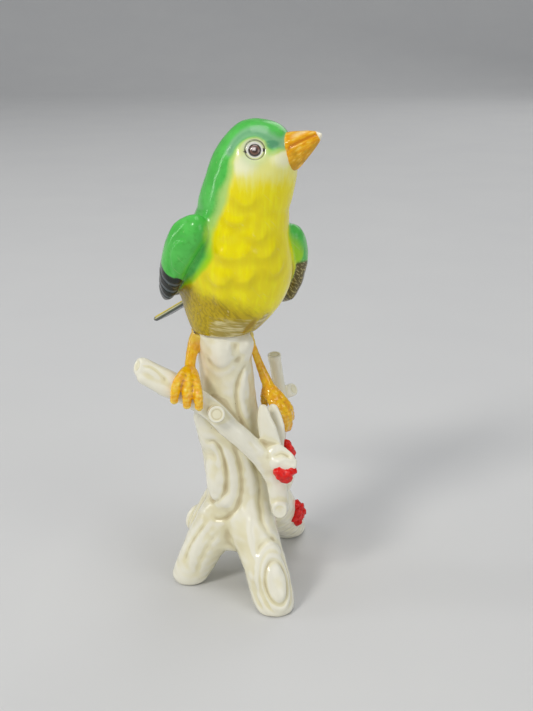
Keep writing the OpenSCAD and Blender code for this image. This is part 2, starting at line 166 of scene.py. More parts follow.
class Block:
    """Evenly spaced samples round some CAD nodes, for distances in mm that are negative inside."""

    def __init__(self, nodes, spacing, margin=4.0):
        low, high = spot(nodes, 0, 0, 0), spot(nodes, 1, 1, 1)
        self.spacing = spacing
        self.first = np.floor((low - margin) / spacing).astype(int)
        last = np.ceil((high + margin) / spacing).astype(int)
        self.shape = tuple(int(count) for count in last - self.first + 1)
        self.start = tuple(int(index) for index in self.first)
        self.transform = vdb.createLinearTransform(voxelSize=spacing)
        self.known = {}

    def distance(self, nodes, reach=9.0):
        """The distance to the nearest of these CAD nodes, as far as reach samples away."""
        nearest = np.full(self.shape, reach * self.spacing, np.float32)
        for node in nodes:
            if (node, reach) in self.known:
                nearest = np.minimum(nearest, self.known[node, reach])
                continue
            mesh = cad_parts[node].data
            mesh.calc_loop_triangles()
            points = np.empty(len(mesh.vertices) * 3, np.float32)
            mesh.vertices.foreach_get("co", points)
            triangles = np.empty(len(mesh.loop_triangles) * 3, np.int32)
            mesh.loop_triangles.foreach_get("vertices", triangles)
            level = vdb.FloatGrid.createLevelSetFromPolygons(
                points.reshape(-1, 3) / np.float32(MM), triangles=triangles.reshape(-1, 3).astype(np.uint32),
                transform=self.transform, halfWidth=reach)
            values = np.empty(self.shape, np.float32)
            level.copyToArray(values, ijk=self.start)
            self.known[node, reach] = values
            nearest = np.minimum(nearest, values)
        return nearest

    def blur(self, field, width):
        """The field with everything smaller than about this width, in mm, smoothed away."""
        return blurred(field, width / self.spacing)

    def surface(self, field):
        """The closed skin where the field is zero."""
        level = vdb.FloatGrid()
        level.background = float(field.max())
        level.transform = self.transform
        level.copyFromArray(np.ascontiguousarray(field, np.float32), ijk=self.start)
        return Skin(*level.convertToQuads(isovalue=0.0))

    def at(self, field, points):
        """The field's value at the sample nearest to each point."""
        index = np.rint(points / self.spacing).astype(int) - self.first
        index = np.clip(index, 0, np.array(self.shape) - 1)
        return field[index[:, 0], index[:, 1], index[:, 2]]


class Skin:
    """A closed surface of four-sided faces, in mm, that is carved and painted point by point."""

    def __init__(self, points, faces):
        self.points = np.asarray(points, float)
        self.faces = np.asarray(faces, int)
        self.paint = {}
        corner = self.points[self.faces]
        across = np.cross(corner[:, 2] - corner[:, 0], corner[:, 3] - corner[:, 1])
        if np.einsum("ij,ij->", corner.mean(1), across) < 0:
            self.faces = self.faces[:, ::-1]
        sides = np.concatenate([self.faces[:, [i, (i + 1) % 4]] for i in range(4)])
        sides.sort(axis=1)
        codes = np.unique(sides[:, 0] * len(self.points) + sides[:, 1])
        sides = np.stack([codes // len(self.points), codes % len(self.points)], axis=1)
        self.ends = np.concatenate([sides, sides[:, ::-1]])
        self.near = np.maximum(np.bincount(self.ends[:, 0], minlength=len(self.points)), 1)
        self.update()

    def update(self):
        """Works out the outward direction at every point."""
        corner = self.points[self.faces]
        across = np.cross(corner[:, 2] - corner[:, 0], corner[:, 3] - corner[:, 1])
        total = np.zeros_like(self.points)
        for side in range(4):
            for axis in range(3):
                total[:, axis] += np.bincount(self.faces[:, side], across[:, axis],
                                              minlength=len(self.points))
        self.normals = unit(total)

    def average(self, values):
        """The mean of the values at each point's neighbours."""
        columns = values.reshape(len(values), -1).T
        total = [np.bincount(self.ends[:, 0], column[self.ends[:, 1]], minlength=len(self.points))
                 for column in columns]
        return (np.array(total) / self.near).T.reshape(values.shape)

    def relax(self, rounds, mask=1.0):
        """Smooths the surface without shrinking it; mask says how much, point by point."""
        mask = np.broadcast_to(mask, len(self.points))[:, None]
        for _ in range(rounds):
            for amount in (0.5, -0.53):
                self.points += amount * mask * (self.average(self.points) - self.points)
        self.update()

    def carve(self, height):
        """Moves every point outwards by its own height in mm."""
        self.points += self.normals * height[:, None]
        self.update()

    def hollow(self, rounds):
        """How far each point lies below the surface round it, in mm: positive in a crevice."""
        smooth = self.points
        for _ in range(rounds):
            smooth = self.average(smooth)
        return np.einsum("ij,ij->i", smooth - self.points, self.normals)

    def facing(self, direction, low=0.1, high=0.5):
        """1 where the surface faces the direction, 0 where it faces away."""
        return step(self.normals @ unit(direction), low, high)

    def line(self, points, width, fade=0.25):
        """1 on a line of points and 0 away from it, with both ends tapered."""
        distance, along = beside_line(self.points, smooth_line(points))
        return np.exp(-(distance / width) ** 2) * step(along, 0.0, fade) * step(1.0 - along, 0.0, fade)

    def flat(self, centre, heading, tilt=0.0, turn=0.0):
        """Sideways and upright distances from a centre on a flat view from a heading, and how far
        in front of it each point is."""
        level = ahead(heading)
        side = np.array((-level[1], level[0], 0.0))
        lean = math.radians(tilt)
        out = level * math.cos(lean) + np.array((0, 0, math.sin(lean)))
        up = np.cross(out, side)
        spin = math.radians(turn)
        offset = self.points - centre
        across, rise = offset @ side, offset @ up
        return (across * math.cos(spin) + rise * math.sin(spin),
                rise * math.cos(spin) - across * math.sin(spin), offset @ out, out)


# ---------------------------------------------------------------- pieces

def build_piece(name, points, faces, material, nodes, normals=None, paint=None):
    """Makes one piece of the figurine from points in mm and joins it to the frame."""
    mesh = bpy.data.meshes.new(name)
    mesh.from_pydata((np.asarray(points) * MM).tolist(), [], [list(map(int, face)) for face in faces])
    mesh.shade_smooth()
    for label, values in (paint or {}).items():
        layer = mesh.attributes.new(label, "FLOAT", "POINT")
        layer.data.foreach_set("value", np.asarray(values, np.float32))
    if normals is not None:
        mesh.normals_split_custom_set([tuple(normal) for normal in normals])
    mesh.materials.append(material)
    piece = bpy.data.objects.new(name, mesh)
    bpy.context.scene.collection.objects.link(piece)
    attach(piece, BODY)
    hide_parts(*nodes)
    return piece


def skin_piece(skin, node, material):
    """One piece that is the whole of a skin."""
    if not len(skin.faces):
        raise RuntimeError(f"{node} has no surface")
    return build_piece(node, skin.points, skin.faces, material, (node,),
                       paint=skin.paint)


def cut_pieces(skin, labels, nodes, material):
    """Cuts a skin into one closed piece per node; labels numbers the node of every face."""
    for number, node in enumerate(nodes):
        faces = skin.faces[labels == number]
        if not len(faces):
            raise RuntimeError(f"{node} has no surface")
        sides = np.concatenate([faces[:, [i, (i + 1) % 4]] for i in range(4)])
        codes = sides[:, 0] * len(skin.points) + sides[:, 1]
        back = sides[:, 1] * len(skin.points) + sides[:, 0]
        rim = sides[~np.isin(codes, back)]
        used, index = np.unique(faces, return_inverse=True)
        points = skin.points[used]
        place = {int(old): new for new, old in enumerate(used)}
        normals = list(skin.normals[used][index.reshape(-1)])
        shapes = index.reshape(faces.shape).tolist()
        for loop in rim_loops(rim):
            ring = [place[point] for point in loop]
            inward = skin.normals[loop].mean(0)
            centre = points[ring].mean(0) - 1.5 * inward
            points = np.vstack([points, centre])
            middle = len(points) - 1
            for start, end in zip(ring, ring[1:] + ring[:1]):
                shapes.append([end, start, middle])
                flat = unit(np.cross(points[start] - points[end], points[middle] - points[end]))
                normals += [flat, flat, flat]
        extra = len(points) - len(used)
        paint = {label: np.concatenate([values[used], np.zeros(extra)])
                 for label, values in skin.paint.items()}
        build_piece(node, points, shapes, material, (node,), normals, paint)


def rim_loops(rim):
    """The open edges of a cut surface, joined into loops of point numbers."""
    following = {}
    for start, end in rim.tolist():
        following.setdefault(start, []).append(end)
    loops = []
    while following:
        start = next(iter(following))
        loop = [start]
        while True:
            ends = following[loop[-1]]
            point = ends.pop()
            if not ends:
                del following[loop[-1]]
            if point == start:
                break
            loop.append(point)
        loops.append(loop)
    return loops


def nearest_parts(block, skin, nodes, rounds=6):
    """The number of the nearest node for every face of a skin, with stray faces tidied away."""
    centres = skin.points[skin.faces].mean(1)
    distances = np.stack([block.at(block.distance([node]), centres) for node in nodes])
    labels = np.argmin(distances, axis=0)
    for _ in range(rounds):
        votes = np.zeros((len(nodes), len(skin.points)))
        for number in range(len(nodes)):
            for side in range(4):
                votes[number] += np.bincount(skin.faces[:, side], labels == number,
                                             minlength=len(skin.points))
        labels = np.argmax(votes[:, skin.faces].sum(2), axis=0)
    return labels


# ---------------------------------------------------------------- materials

class Value:
    """A socket of a material's nodes that can be used in sums."""

    def __init__(self, glaze, socket):
        self.glaze = glaze
        self.socket = socket

    def math(self, operation, *others):
        return self.glaze.add("ShaderNodeMath", {"operation": operation}, [self, *others])

    def __add__(self, other):
        return self.math("ADD", other)

    def __sub__(self, other):
        return self.math("SUBTRACT", other)

    def __rsub__(self, other):
        return self.math("MULTIPLY_ADD", -1.0, other)

    def __mul__(self, other):
        return self.math("MULTIPLY", other)

    def __truediv__(self, other):
        return self.math("DIVIDE", other)

    def __pow__(self, other):
        return self.math("POWER", other)

    __radd__ = __add__
    __rmul__ = __mul__

    def step(self, low, high):
        """Rises smoothly from 0 at low to 1 at high."""
        return self.glaze.add("ShaderNodeMapRange", {"interpolation_type": "SMOOTHSTEP"},
                              {"Value": self, "From Min": low, "From Max": high})


class Glaze:
    """A material whose nodes are made one call at a time."""

    def __init__(self, name):
        self.material = bpy.data.materials.new(name)
        self.material.use_nodes = True
        self.tree = self.material.node_tree
        self.shader = next(node for node in self.tree.nodes if node.type == "BSDF_PRINCIPLED")
        spot_in_mm = self.add("ShaderNodeTexCoord", output="Object")
        self.place = self.add("ShaderNodeVectorMath", {"operation": "SCALE"},
                              {"Vector": spot_in_mm, "Scale": 1.0 / MM})

    def plug(self, socket, value):
        """Gives an input a constant or another node's output."""
        if isinstance(value, Value):
            self.tree.links.new(value.socket, socket)
        elif socket.type == "RGBA" and len(value) == 3:
            socket.default_value = (*value, 1.0)
        else:
            socket.default_value = value

    def add(self, kind, settings=None, inputs=None, output=0):
        """A node with these settings and inputs, as the value of one of its outputs."""
        node = self.tree.nodes.new(kind)
        for name, value in (settings or {}).items():
            setattr(node, name, value)
        pairs = enumerate(inputs) if isinstance(inputs, list) else (inputs or {}).items()
        for key, value in pairs:
            self.plug(node.inputs[key], value)
        return Value(self, node.outputs[output])

    def mix(self, first, second, share):
        """The first colour turning into the second as share goes from 0 to 1."""
        return self.add("ShaderNodeMix", {"data_type": "RGBA"}, {0: share, 6: first, 7: second}, 2)

    def painted(self, name):
        """A value painted on the mesh, point by point."""
        return self.add("ShaderNodeAttribute", {"attribute_name": name}, output="Fac")

    def stretched(self, stretch, turn=(0.0, 0.0, 0.0)):
        """Positions in mm, turned by degrees and then squeezed along each axis."""
        angles = tuple(math.radians(angle) for angle in turn)
        return self.add("ShaderNodeMapping", {"vector_type": "TEXTURE"},
                        {"Vector": self.place, "Rotation": angles, "Scale": stretch})

    def noise(self, size, detail=2.0, place=None, rough=0.5):
        """Soft noise round 0.5 with features about that size in mm."""
        return self.add("ShaderNodeTexNoise", None,
                        {"Vector": place or self.place, "Scale": 1.0 / size, "Detail": detail,
                         "Roughness": rough}, "Fac")

    def cells(self, size, place=None, feature="F1", output="Distance"):
        """Distance from the middle, or the edge, of cells about that size in mm."""
        return self.add("ShaderNodeTexVoronoi", {"feature": feature},
                        {"Vector": place or self.place, "Scale": 1.0 / size}, output)

    def finish(self, colour, roughness, relief=None, depth=0.02, coat=0.2):
        """Connects the colour, gloss and fine relief, depth in mm, and returns the material."""
        self.plug(self.shader.inputs["Base Color"], colour)
        self.plug(self.shader.inputs["Roughness"], roughness)
        self.shader.inputs["IOR"].default_value = 1.36
        self.shader.inputs["Coat Weight"].default_value = coat
        self.shader.inputs["Coat Roughness"].default_value = 0.04
        if relief is not None:
            bump = self.add("ShaderNodeBump", None,
                            {"Height": relief, "Distance": depth * MM, "Strength": 1.0}, "Normal")
            self.plug(self.shader.inputs["Normal"], bump)
        return self.material


def ivory_glaze():
    """Warm white glaze with brown dirt and painted shade in the crevices, and paler on the ridges."""
    glaze = Glaze("ivory_glaze")
    cloud = glaze.noise(14.0, 3.0)
    fine = glaze.noise(1.1, 4.0)
    hollow = glaze.painted("hollow") + (fine - 0.5) * 0.06
    colour = glaze.mix((0.90, 0.855, 0.63), (0.80, 0.74, 0.48), cloud.step(0.40, 0.72))
    colour = glaze.mix(colour, (0.93, 0.91, 0.80), (0.0 - hollow).step(0.02, 0.22) * 0.7)
    # Brown dirt and painted shade: the deeper the crevice, the darker the brown.
    colour = glaze.mix(colour, (0.62, 0.53, 0.31), hollow.step(0.05, 0.28) * 0.75)
    colour = glaze.mix(colour, (0.42, 0.31, 0.14), hollow.step(0.26, 0.62) * 0.6)
    speck = glaze.cells(4.2).math("LESS_THAN", 0.045) * glaze.noise(5.0).step(0.55, 0.62)
    colour = glaze.mix(colour, (0.25, 0.19, 0.11), speck * 0.6)
    roughness = 0.13 + hollow.step(0.1, 0.5) * 0.2 + fine * 0.05
    return glaze.finish(colour, roughness, glaze.noise(2.6, 2.0) + fine * 0.15, 0.05)


def bird_enamel():
    """Green, yellow, cream and black overglaze colours, laid on softly where the skin is painted, with
    painted shade under the breast tufts and in the creases and a painted highlight along the feather barbs.
    """
    glaze = Glaze("bird_enamel")
    spray = glaze.noise(1.6, 4.0, rough=0.6)
    streak = glaze.noise(1.3, 3.0, glaze.stretched((1.0, 1.0, 6.0)))
    blotch = glaze.noise(7.0, 2.0)
    hatch = glaze.noise(0.5, 2.0, glaze.stretched((1.0, 1.0, 9.0), (18.0, -38.0, 0.0)))
    stroke = glaze.noise(0.85, 2.0, glaze.stretched((1.0, 1.0, 11.0), (24.0, -42.0, 0.0)))
    level = glaze.noise(0.75, 2.0, glaze.stretched((9.0, 3.0, 1.0), (0.0, 8.0, 0.0)))
    hollow = glaze.painted("hollow")

    def mask(name, spread=0.25, grain=spray):
        """A painted mask whose edge follows the grain of the brush."""
        return (glaze.painted(name) + (grain - 0.5) * spread).step(0.12, 0.88)

    colour = glaze.mix((0.96, 0.82, 0.0), (1.0, 0.90, 0.0), streak.step(0.40, 0.68))
    colour = glaze.mix(colour, (0.88, 0.71, 0.0), blotch.step(0.52, 0.80) * 0.5)
    colour = glaze.mix(colour, (0.72, 0.55, 0.0), glaze.painted("shade") * 0.42)
    mustard = glaze.mix((0.56, 0.41, 0.004), (0.40, 0.285, 0.002), stroke.step(0.44, 0.60))
    mustard = glaze.mix(mustard, (0.72, 0.60, 0.16), stroke.step(0.66, 0.74) * 0.6)
    colour = glaze.mix(colour, mustard, mask("mustard"))
    cream = glaze.mix((0.44, 0.34, 0.08), (0.74, 0.66, 0.34), level.step(0.42, 0.62))
    colour = glaze.mix(colour, cream, mask("band", 0.9, level) * 0.9)
    colour = glaze.mix(colour, (0.40, 0.25, 0.002), mask("patch", 0.6, stroke))
    colour = glaze.mix(colour, (0.95, 0.92, 0.28), mask("pale", 0.7, streak))
    colour = glaze.mix(colour, (0.98, 0.98, 0.64), mask("cream", 0.5, streak))
    lime = glaze.mix((0.40, 0.76, 0.002), (0.50, 0.76, 0.20), glaze.painted("pallor"))
    green = glaze.mix((0.075, 0.52, 0.07), (0.11, 0.62, 0.10), blotch.step(0.35, 0.65))
    green = glaze.mix(green, (0.06, 0.40, 0.04), spray.step(0.5, 0.75) * 0.5)
    leaf = glaze.painted("green") + (spray - 0.5) * 0.16
    colour = glaze.mix(colour, lime, leaf.step(0.04, 0.46))
    colour = glaze.mix(colour, green, leaf.step(0.40, 0.96))
    colour = glaze.mix(colour, (0.52, 0.68, 0.40), glaze.painted("veil") * 0.55)
    colour = glaze.mix(colour, (0.24, 0.53, 0.27), mask("brow", 0.3) * 0.9)
    colour = glaze.mix(colour, (0.085, 0.33, 0.16), mask("lore", 0.35) * 0.85)
    colour = glaze.mix(colour, (0.33, 0.60, 0.33), mask("forehead", 0.3) * 0.8)
    # The grey-blue along the barbs of the black feathers is a painted highlight.
    feather = glaze.mix((0.012, 0.014, 0.013), (0.16, 0.19, 0.21), mask("barb", 0.5, hatch) * 0.6)
    colour = glaze.mix(colour, feather, mask("black", 0.12))
    colour = glaze.mix(colour, (0.80, 0.62, 0.03), mask("bar", 0.3))
    olive = glaze.mix((0.11, 0.085, 0.012), (0.42, 0.36, 0.13), hatch.step(0.5, 0.62))
    colour = glaze.mix(colour, olive, mask("olive", 0.2))
    colour = glaze.mix(colour, (0.82, 0.76, 0.46), mask("fuzz", 1.1, stroke))
    colour = glaze.mix(colour, (0.06, 0.05, 0.045), mask("rim", 0.2))
    # Painted shade in the creases of the bird.
    colour = glaze.mix(colour, (0.30, 0.25, 0.02), hollow.step(0.14, 0.50) * 0.25)
    relief = glaze.noise(3.2, 2.0) + stroke * glaze.painted("mustard") * 0.8 + spray * 0.08
    return glaze.finish(colour, 0.15 + spray * 0.08, relief, 0.05)


def beak_enamel():
    """Orange enamel brushed lengthwise, with a dark line along the bite, a painted highlight along the upper
    ridge and a bare white tip.
    """
    glaze = Glaze("beak_enamel")
    brush = glaze.noise(0.75, 3.0, glaze.stretched((9.0, 1.0, 1.0), (0.0, -28.0, -22.0)))
    cloud = glaze.noise(3.0, 2.0)
    colour = glaze.mix((0.95, 0.50, 0.012), (0.88, 0.36, 0.002), brush.step(0.44, 0.60))
    colour = glaze.mix(colour, (0.98, 0.66, 0.12), (1.0 - brush).step(0.54, 0.68) * 0.7)
    colour = glaze.mix(colour, (0.62, 0.32, 0.004), glaze.painted("lower") * cloud.step(0.3, 0.7))
    colour = glaze.mix(colour, (0.56, 0.18, 0.002), glaze.painted("bite") * 0.9)
    # A pale line along the upper ridge: a painted highlight.
    colour = glaze.mix(colour, (0.95, 0.72, 0.33), glaze.painted("ridge_highlight") * 0.7)
    tip = (glaze.painted("tip") + (cloud - 0.5) * 0.2).step(0.3, 0.7)
    colour = glaze.mix(colour, (0.93, 0.87, 0.68), tip)
    return glaze.finish(colour, 0.16 + brush * 0.08, brush, 0.05)


def leg_enamel():
    """Amber enamel, a little darker along the edges of the scales, with painted shade in the crevices of the
    legs and toes and a painted highlight on their ridges.
    """
    glaze = Glaze("leg_enamel")
    scales = glaze.cells(1.25, glaze.stretched((1.0, 1.0, 1.5)), "DISTANCE_TO_EDGE")
    cloud = glaze.noise(2.2, 3.0)
    grain = glaze.noise(0.55, 3.0)
    colour = glaze.mix((0.96, 0.56, 0.002), (0.90, 0.42, 0.001), cloud.step(0.42, 0.60))
    # Painted highlight on the ridges of the legs and toes.
    colour = glaze.mix(colour, (1.0, 0.76, 0.12), glaze.painted("ridge_highlight") * 0.8)
    seams = (0.12 - scales + (grain - 0.5) * 0.14).step(0.0, 0.12)
    colour = glaze.mix(colour, (0.72, 0.28, 0.002), seams * 0.2)
    # Painted shade in the crevices of the legs and toes and where they meet the body and branches.
    colour = glaze.mix(colour, (0.42, 0.15, 0.002), glaze.painted("hollow").step(0.02, 0.16) * 0.8)
    colour = glaze.mix(colour, (0.72, 0.62, 0.16), glaze.painted("pale") * 0.75)
    return glaze.finish(colour, 0.10 + grain * 0.06, scales.step(0.0, 0.3) * 0.3 + cloud, 0.03, 0.8)


def tail_enamel():
    """Black tail feathers with yellow edges and a pale stripe."""
    glaze = Glaze("tail_enamel")
    barb = glaze.noise(0.5, 2.0, glaze.stretched((7.0, 1.0, 1.0), (0.0, 34.0, -53.0)))
    colour = glaze.mix((0.010, 0.014, 0.012), (0.07, 0.09, 0.09), barb.step(0.5, 0.7) * 0.7)
    colour = glaze.mix(colour, (0.13, 0.24, 0.16), glaze.painted("teal"))
    colour = glaze.mix(colour, (0.80, 0.76, 0.42), glaze.painted("stripe"))
    yellow = (glaze.painted("yellow") + (barb - 0.5) * 0.3).step(0.3, 0.7)
    colour = glaze.mix(colour, (0.82, 0.66, 0.05), yellow)
    return glaze.finish(colour, 0.15 + barb * 0.08, barb, 0.04)


def eye_enamel():
    """Rings of cream, grey and dark brown round a glossy pupil with a soft catch of light."""
    glaze = Glaze("eye_enamel")
    grain = glaze.noise(0.5, 2.0)
    reach = glaze.painted("reach") + (grain - 0.5) * 0.05
    colour = glaze.mix((0.050, 0.026, 0.020), (0.20, 0.10, 0.07), reach.step(0.22, 0.44))
    colour = glaze.mix(colour, (0.028, 0.022, 0.020), reach.step(0.46, 0.54))
    colour = glaze.mix(colour, (0.24, 0.23, 0.21), reach.step(0.59, 0.64))
    colour = glaze.mix(colour, (0.90, 0.89, 0.80), reach.step(0.65, 0.70))
    colour = glaze.mix(colour, (0.05, 0.05, 0.048), reach.step(0.89, 0.93))
    colour = glaze.mix(colour, (0.92, 0.80, 0.78), glaze.painted("glint"))
    return glaze.finish(colour, 0.08 + grain * 0.05, grain, 0.01, 1.0)


def berry_enamel():
    """Thick red enamel, darker and brighter in random patches."""
    glaze = Glaze("berry_enamel")
    cloud = glaze.noise(1.4, 3.0)
    colour = glaze.mix((0.84, 0.010, 0.006), (0.62, 0.003, 0.003), cloud.step(0.42, 0.70))
    colour = glaze.mix(colour, (0.92, 0.06, 0.04), glaze.noise(0.8, 2.0).step(0.62, 0.78) * 0.6)
    return glaze.finish(colour, 0.12 + cloud * 0.1, cloud, 0.08)


def studio_paper():
    """Pale matt paper for the floor and backdrop."""
    glaze = Glaze("studio_paper")
    cloud = glaze.noise(90.0, 2.0)
    colour = glaze.mix((0.70, 0.70, 0.69), (0.66, 0.66, 0.66), cloud)
    return glaze.finish(colour, 0.8 + cloud * 0.05, None, coat=0.0)


# ---------------------------------------------------------------- the stump

# Lines carved in the stump and what grows on it: the piece, points in shares of its box, width and
# height in mm. A height under zero is a groove and one over zero is a ridge.
STUMP_LINES = (
    # almond-shaped scar high on the trunk
    ("stump", (
        (0.569, 0.326, 0.885), (0.530, 0.298, 0.859), (0.496, 0.281, 0.820),
        (0.483, 0.272, 0.774), (0.495, 0.267, 0.720), (0.528, 0.269, 0.674),
        (0.574, 0.285, 0.639)), 0.8, -0.55),
    ("stump", (
        (0.562, 0.328, 0.859), (0.536, 0.281, 0.820), (0.522, 0.276, 0.769),
        (0.541, 0.283, 0.708), (0.568, 0.291, 0.675)), 1.0, 0.5),
    # the two lobes under the bird and the fold below them
    ("stump", (
        (0.273, 0.310, 0.937), (0.299, 0.293, 0.897), (0.346, 0.268, 0.878),
        (0.406, 0.257, 0.873), (0.459, 0.264, 0.893), (0.511, 0.291, 0.905),
        (0.557, 0.299, 0.925)), 1.4, -0.45),
    ("stump", (
        (0.479, 0.288, 0.967), (0.472, 0.276, 0.941), (0.466, 0.268, 0.911)), 1.6, -0.45),
    # tall flat scar and the folds that run round it
    ("stump", (
        (0.260, 0.290, 0.576), (0.290, 0.265, 0.599), (0.332, 0.251, 0.604),
        (0.371, 0.254, 0.576), (0.397, 0.255, 0.534), (0.410, 0.256, 0.487),
        (0.408, 0.259, 0.438), (0.394, 0.249, 0.403), (0.352, 0.255, 0.373),
        (0.297, 0.334, 0.348), (0.263, 0.410, 0.345)), 0.8, -0.6),
    ("stump", (
        (0.303, 0.266, 0.584), (0.337, 0.261, 0.566), (0.356, 0.261, 0.535),
        (0.362, 0.252, 0.496)), 0.9, 0.35),
    ("stump", (
        (0.379, 0.251, 0.600), (0.432, 0.248, 0.547), (0.457, 0.250, 0.481),
        (0.456, 0.252, 0.417), (0.421, 0.245, 0.369), (0.357, 0.267, 0.337)), 1.5, 0.6),
    ("stump", (
        (0.427, 0.246, 0.609), (0.486, 0.249, 0.551), (0.512, 0.252, 0.472),
        (0.511, 0.252, 0.402), (0.476, 0.242, 0.346), (0.405, 0.261, 0.302),
        (0.334, 0.273, 0.294), (0.292, 0.297, 0.314)), 0.9, -0.6),
    ("stump", (
        (0.487, 0.250, 0.604), (0.553, 0.264, 0.531), (0.580, 0.267, 0.451),
        (0.579, 0.261, 0.375), (0.545, 0.204, 0.316)), 1.7, 0.55),
    ("stump", (
        (0.547, 0.264, 0.569), (0.614, 0.286, 0.484), (0.641, 0.291, 0.404),
        (0.641, 0.237, 0.336), (0.655, 0.179, 0.278)), 1.2, -0.5),
    # long grooves down the left root
    ("stump", (
        (0.277, 0.290, 0.284), (0.197, 0.298, 0.227), (0.129, 0.310, 0.161),
        (0.091, 0.305, 0.088)), 0.9, -0.55),
    ("stump", (
        (0.320, 0.279, 0.296), (0.248, 0.281, 0.234), (0.182, 0.283, 0.163),
        (0.142, 0.283, 0.072)), 1.2, 0.45),
    ("stump", (
        (0.369, 0.261, 0.262), (0.275, 0.266, 0.187), (0.216, 0.275, 0.117),
        (0.183, 0.289, 0.044)), 0.9, -0.4),
    # folds above the front root
    ("stump", (
        (0.586, 0.224, 0.340), (0.573, 0.179, 0.286), (0.594, 0.137, 0.231),
        (0.615, 0.082, 0.181)), 1.1, 0.5),
    ("stump", (
        (0.655, 0.287, 0.365), (0.662, 0.217, 0.311), (0.710, 0.186, 0.263),
        (0.765, 0.203, 0.236)), 1.1, -0.4),
    # split end and bark of the front branch
    ("front_branch", (
        (0.014, 0.473, 0.939), (0.061, 0.371, 0.969), (0.129, 0.417, 0.960),
        (0.192, 0.306, 0.913), (0.229, 0.242, 0.869)), 0.8, -0.6),
    ("front_branch", (
        (0.447, 0.188, 0.787), (0.522, 0.257, 0.758), (0.591, 0.219, 0.699),
        (0.635, 0.096, 0.633)), 1.6, -0.35),
    ("front_branch", (
        (0.716, 0.104, 0.532), (0.780, 0.130, 0.455), (0.831, 0.195, 0.347),
        (0.870, 0.330, 0.232)), 1.5, -0.3),
    # fold and torn edge of the folded leaf
    ("leaf_folded", (
        (0.178, 0.538, 0.865), (0.473, 0.804, 0.950), (0.766, 0.589, 0.738),
        (0.911, 0.354, 0.570)), 0.7, 0.55),
    ("leaf_folded", (
        (0.237, 0.244, 0.636), (0.530, 0.426, 0.779), (0.822, 0.303, 0.583)), 0.8, -0.5),
    ("leaf_folded", (
        (0.353, 0.040, 0.424), (0.617, 0.224, 0.604), (0.881, 0.244, 0.447)), 0.6, 0.5),
)

# Swellings under the bird: the middle in shares of the stump's box, width and height in mm.
STUMP_LOBES = (
    ((0.392, 0.266, 0.934), 4.6, 1.0), ((0.547, 0.298, 0.951), 3.6, 0.9),
)

# Cut ends of branches: the piece, the middle of the cut in shares of its box, the way that the cut
# faces, and its radius in mm.
SAWN_ENDS = (
    ("branch_stub", (0.534, 0.268, 0.615), (0.11, -0.94, 0.32), 2.7),
    ("front_branch", (0.935, 0.132, 0.072), (0.0, -0.98, 0.2), 2.9),
    ("front_branch", (0.034, 0.565, 0.960), (-0.8, -0.45, 0.4), 2.3),
    ("perch_branch", (0.484, 0.897, 0.957), (-0.05, -0.15, 0.99), 2.5),
    ("perch_side_twig", (0.782, 0.604, 0.622), (0.75, -0.45, 0.48), 2.2),
)

# Ringed scars: centre in shares of the stump's box, heading, tilt and turn in degrees, half width
# and half height in mm, and the shares of that size where the rings run.
STUMP_SCARS = (
    ((0.757, 0.060, 0.122), 14.0, 22.0, 4.0, 4.3, 8.2, (0.92, 1.34, 1.78)),
    ((0.197, 0.560, 0.190), -100.0, 0.0, 0.0, 4.2, 8.6, (0.70, 0.98)),
    ((0.507, 0.715, 0.619), 165.0, 0.0, 8.0, 3.6, 9.0, (0.72, 1.04, 1.5)),
    ((0.249, 0.598, 0.536), -120.0, 0.0, -6.0, 3.0, 7.0, (0.8, 1.2, 1.7)),
)


def saw_end(skin, middle, out, radius):
    """Cuts a branch flat with a low rim, and marks the ring inside the rim."""
    offset = skin.points - middle
    along = offset @ out
    share = np.linalg.norm(offset - np.outer(along, out), axis=1) / radius
    near = step(along, -2.6, -1.6) * step(-along, -1.8 * radius, -1.6 * radius)
    near *= step(-share, -1.25, -0.98) * skin.facing(out, -0.1, 0.3)
    level = 0.12 * np.exp(-((share - 0.84) / 0.18) ** 2) - 0.12 * np.exp(-((share - 0.55) / 0.16) ** 2)
    skin.points += np.outer(near * (level - along), out)
    return near * np.exp(-((share - 0.62) / 0.14) ** 2)


def carve_stump(skin, settings):
    """Carves the scars, folds and bark waves of the stump, and marks its crevices for the brown dirt and
    painted shade of the glaze.
    """
    height = np.zeros(len(skin.points))
    for node, points, width, rise in STUMP_LINES:
        line = [spot(node, *point) for point in points]
        height += settings.depth * rise * skin.line(line, width, 0.2)
    for centre, width, rise in STUMP_LOBES:
        away = np.linalg.norm(skin.points - spot("stump", *centre), axis=1)
        height += settings.depth * rise * np.exp(-(away / width) ** 2)
    for centre, heading, tilt, turn, wide, high, rings in STUMP_SCARS:
        across, rise, front, out = skin.flat(spot("stump", *centre), heading, tilt, turn)
        reach = np.hypot(across / wide, rise / high)
        near = skin.facing(out) * step(-np.abs(front), -7.0, -4.5)
        height += 0.45 * near * step(-reach, -rings[0] - 0.05, -rings[0] + 0.25) * settings.depth
        for number, ring in enumerate(rings):
            thin = np.exp(-((reach - ring) * wide / 0.6) ** 2)
            height -= settings.depth * near * thin * (0.5 - 0.08 * number)
    x, y, z = skin.points.T
    turn = np.arctan2(y, x)
    bark = np.sin(5.0 * turn + 0.035 * z + 1.3 * ripple(skin.points, 34.0, 3))
    height += 0.12 * bark * step(z, 26.0, 36.0) * step(-z, -92.0, -80.0) * step(y, -8.0, 2.0)
    height += 0.16 * ripple(skin.points, 9.0, 5) + 0.06 * ripple(skin.points, 3.6, 8)
    skin.carve(height)
    skin.relax(1)
    ring = np.zeros(len(skin.points))
    for node, middle, out, radius in SAWN_ENDS:
        ring = np.maximum(ring, saw_end(skin, spot(node, *middle), unit(out), radius))
    skin.update()
    skin.paint["hollow"] = skin.hollow(26) + 0.12 * ring


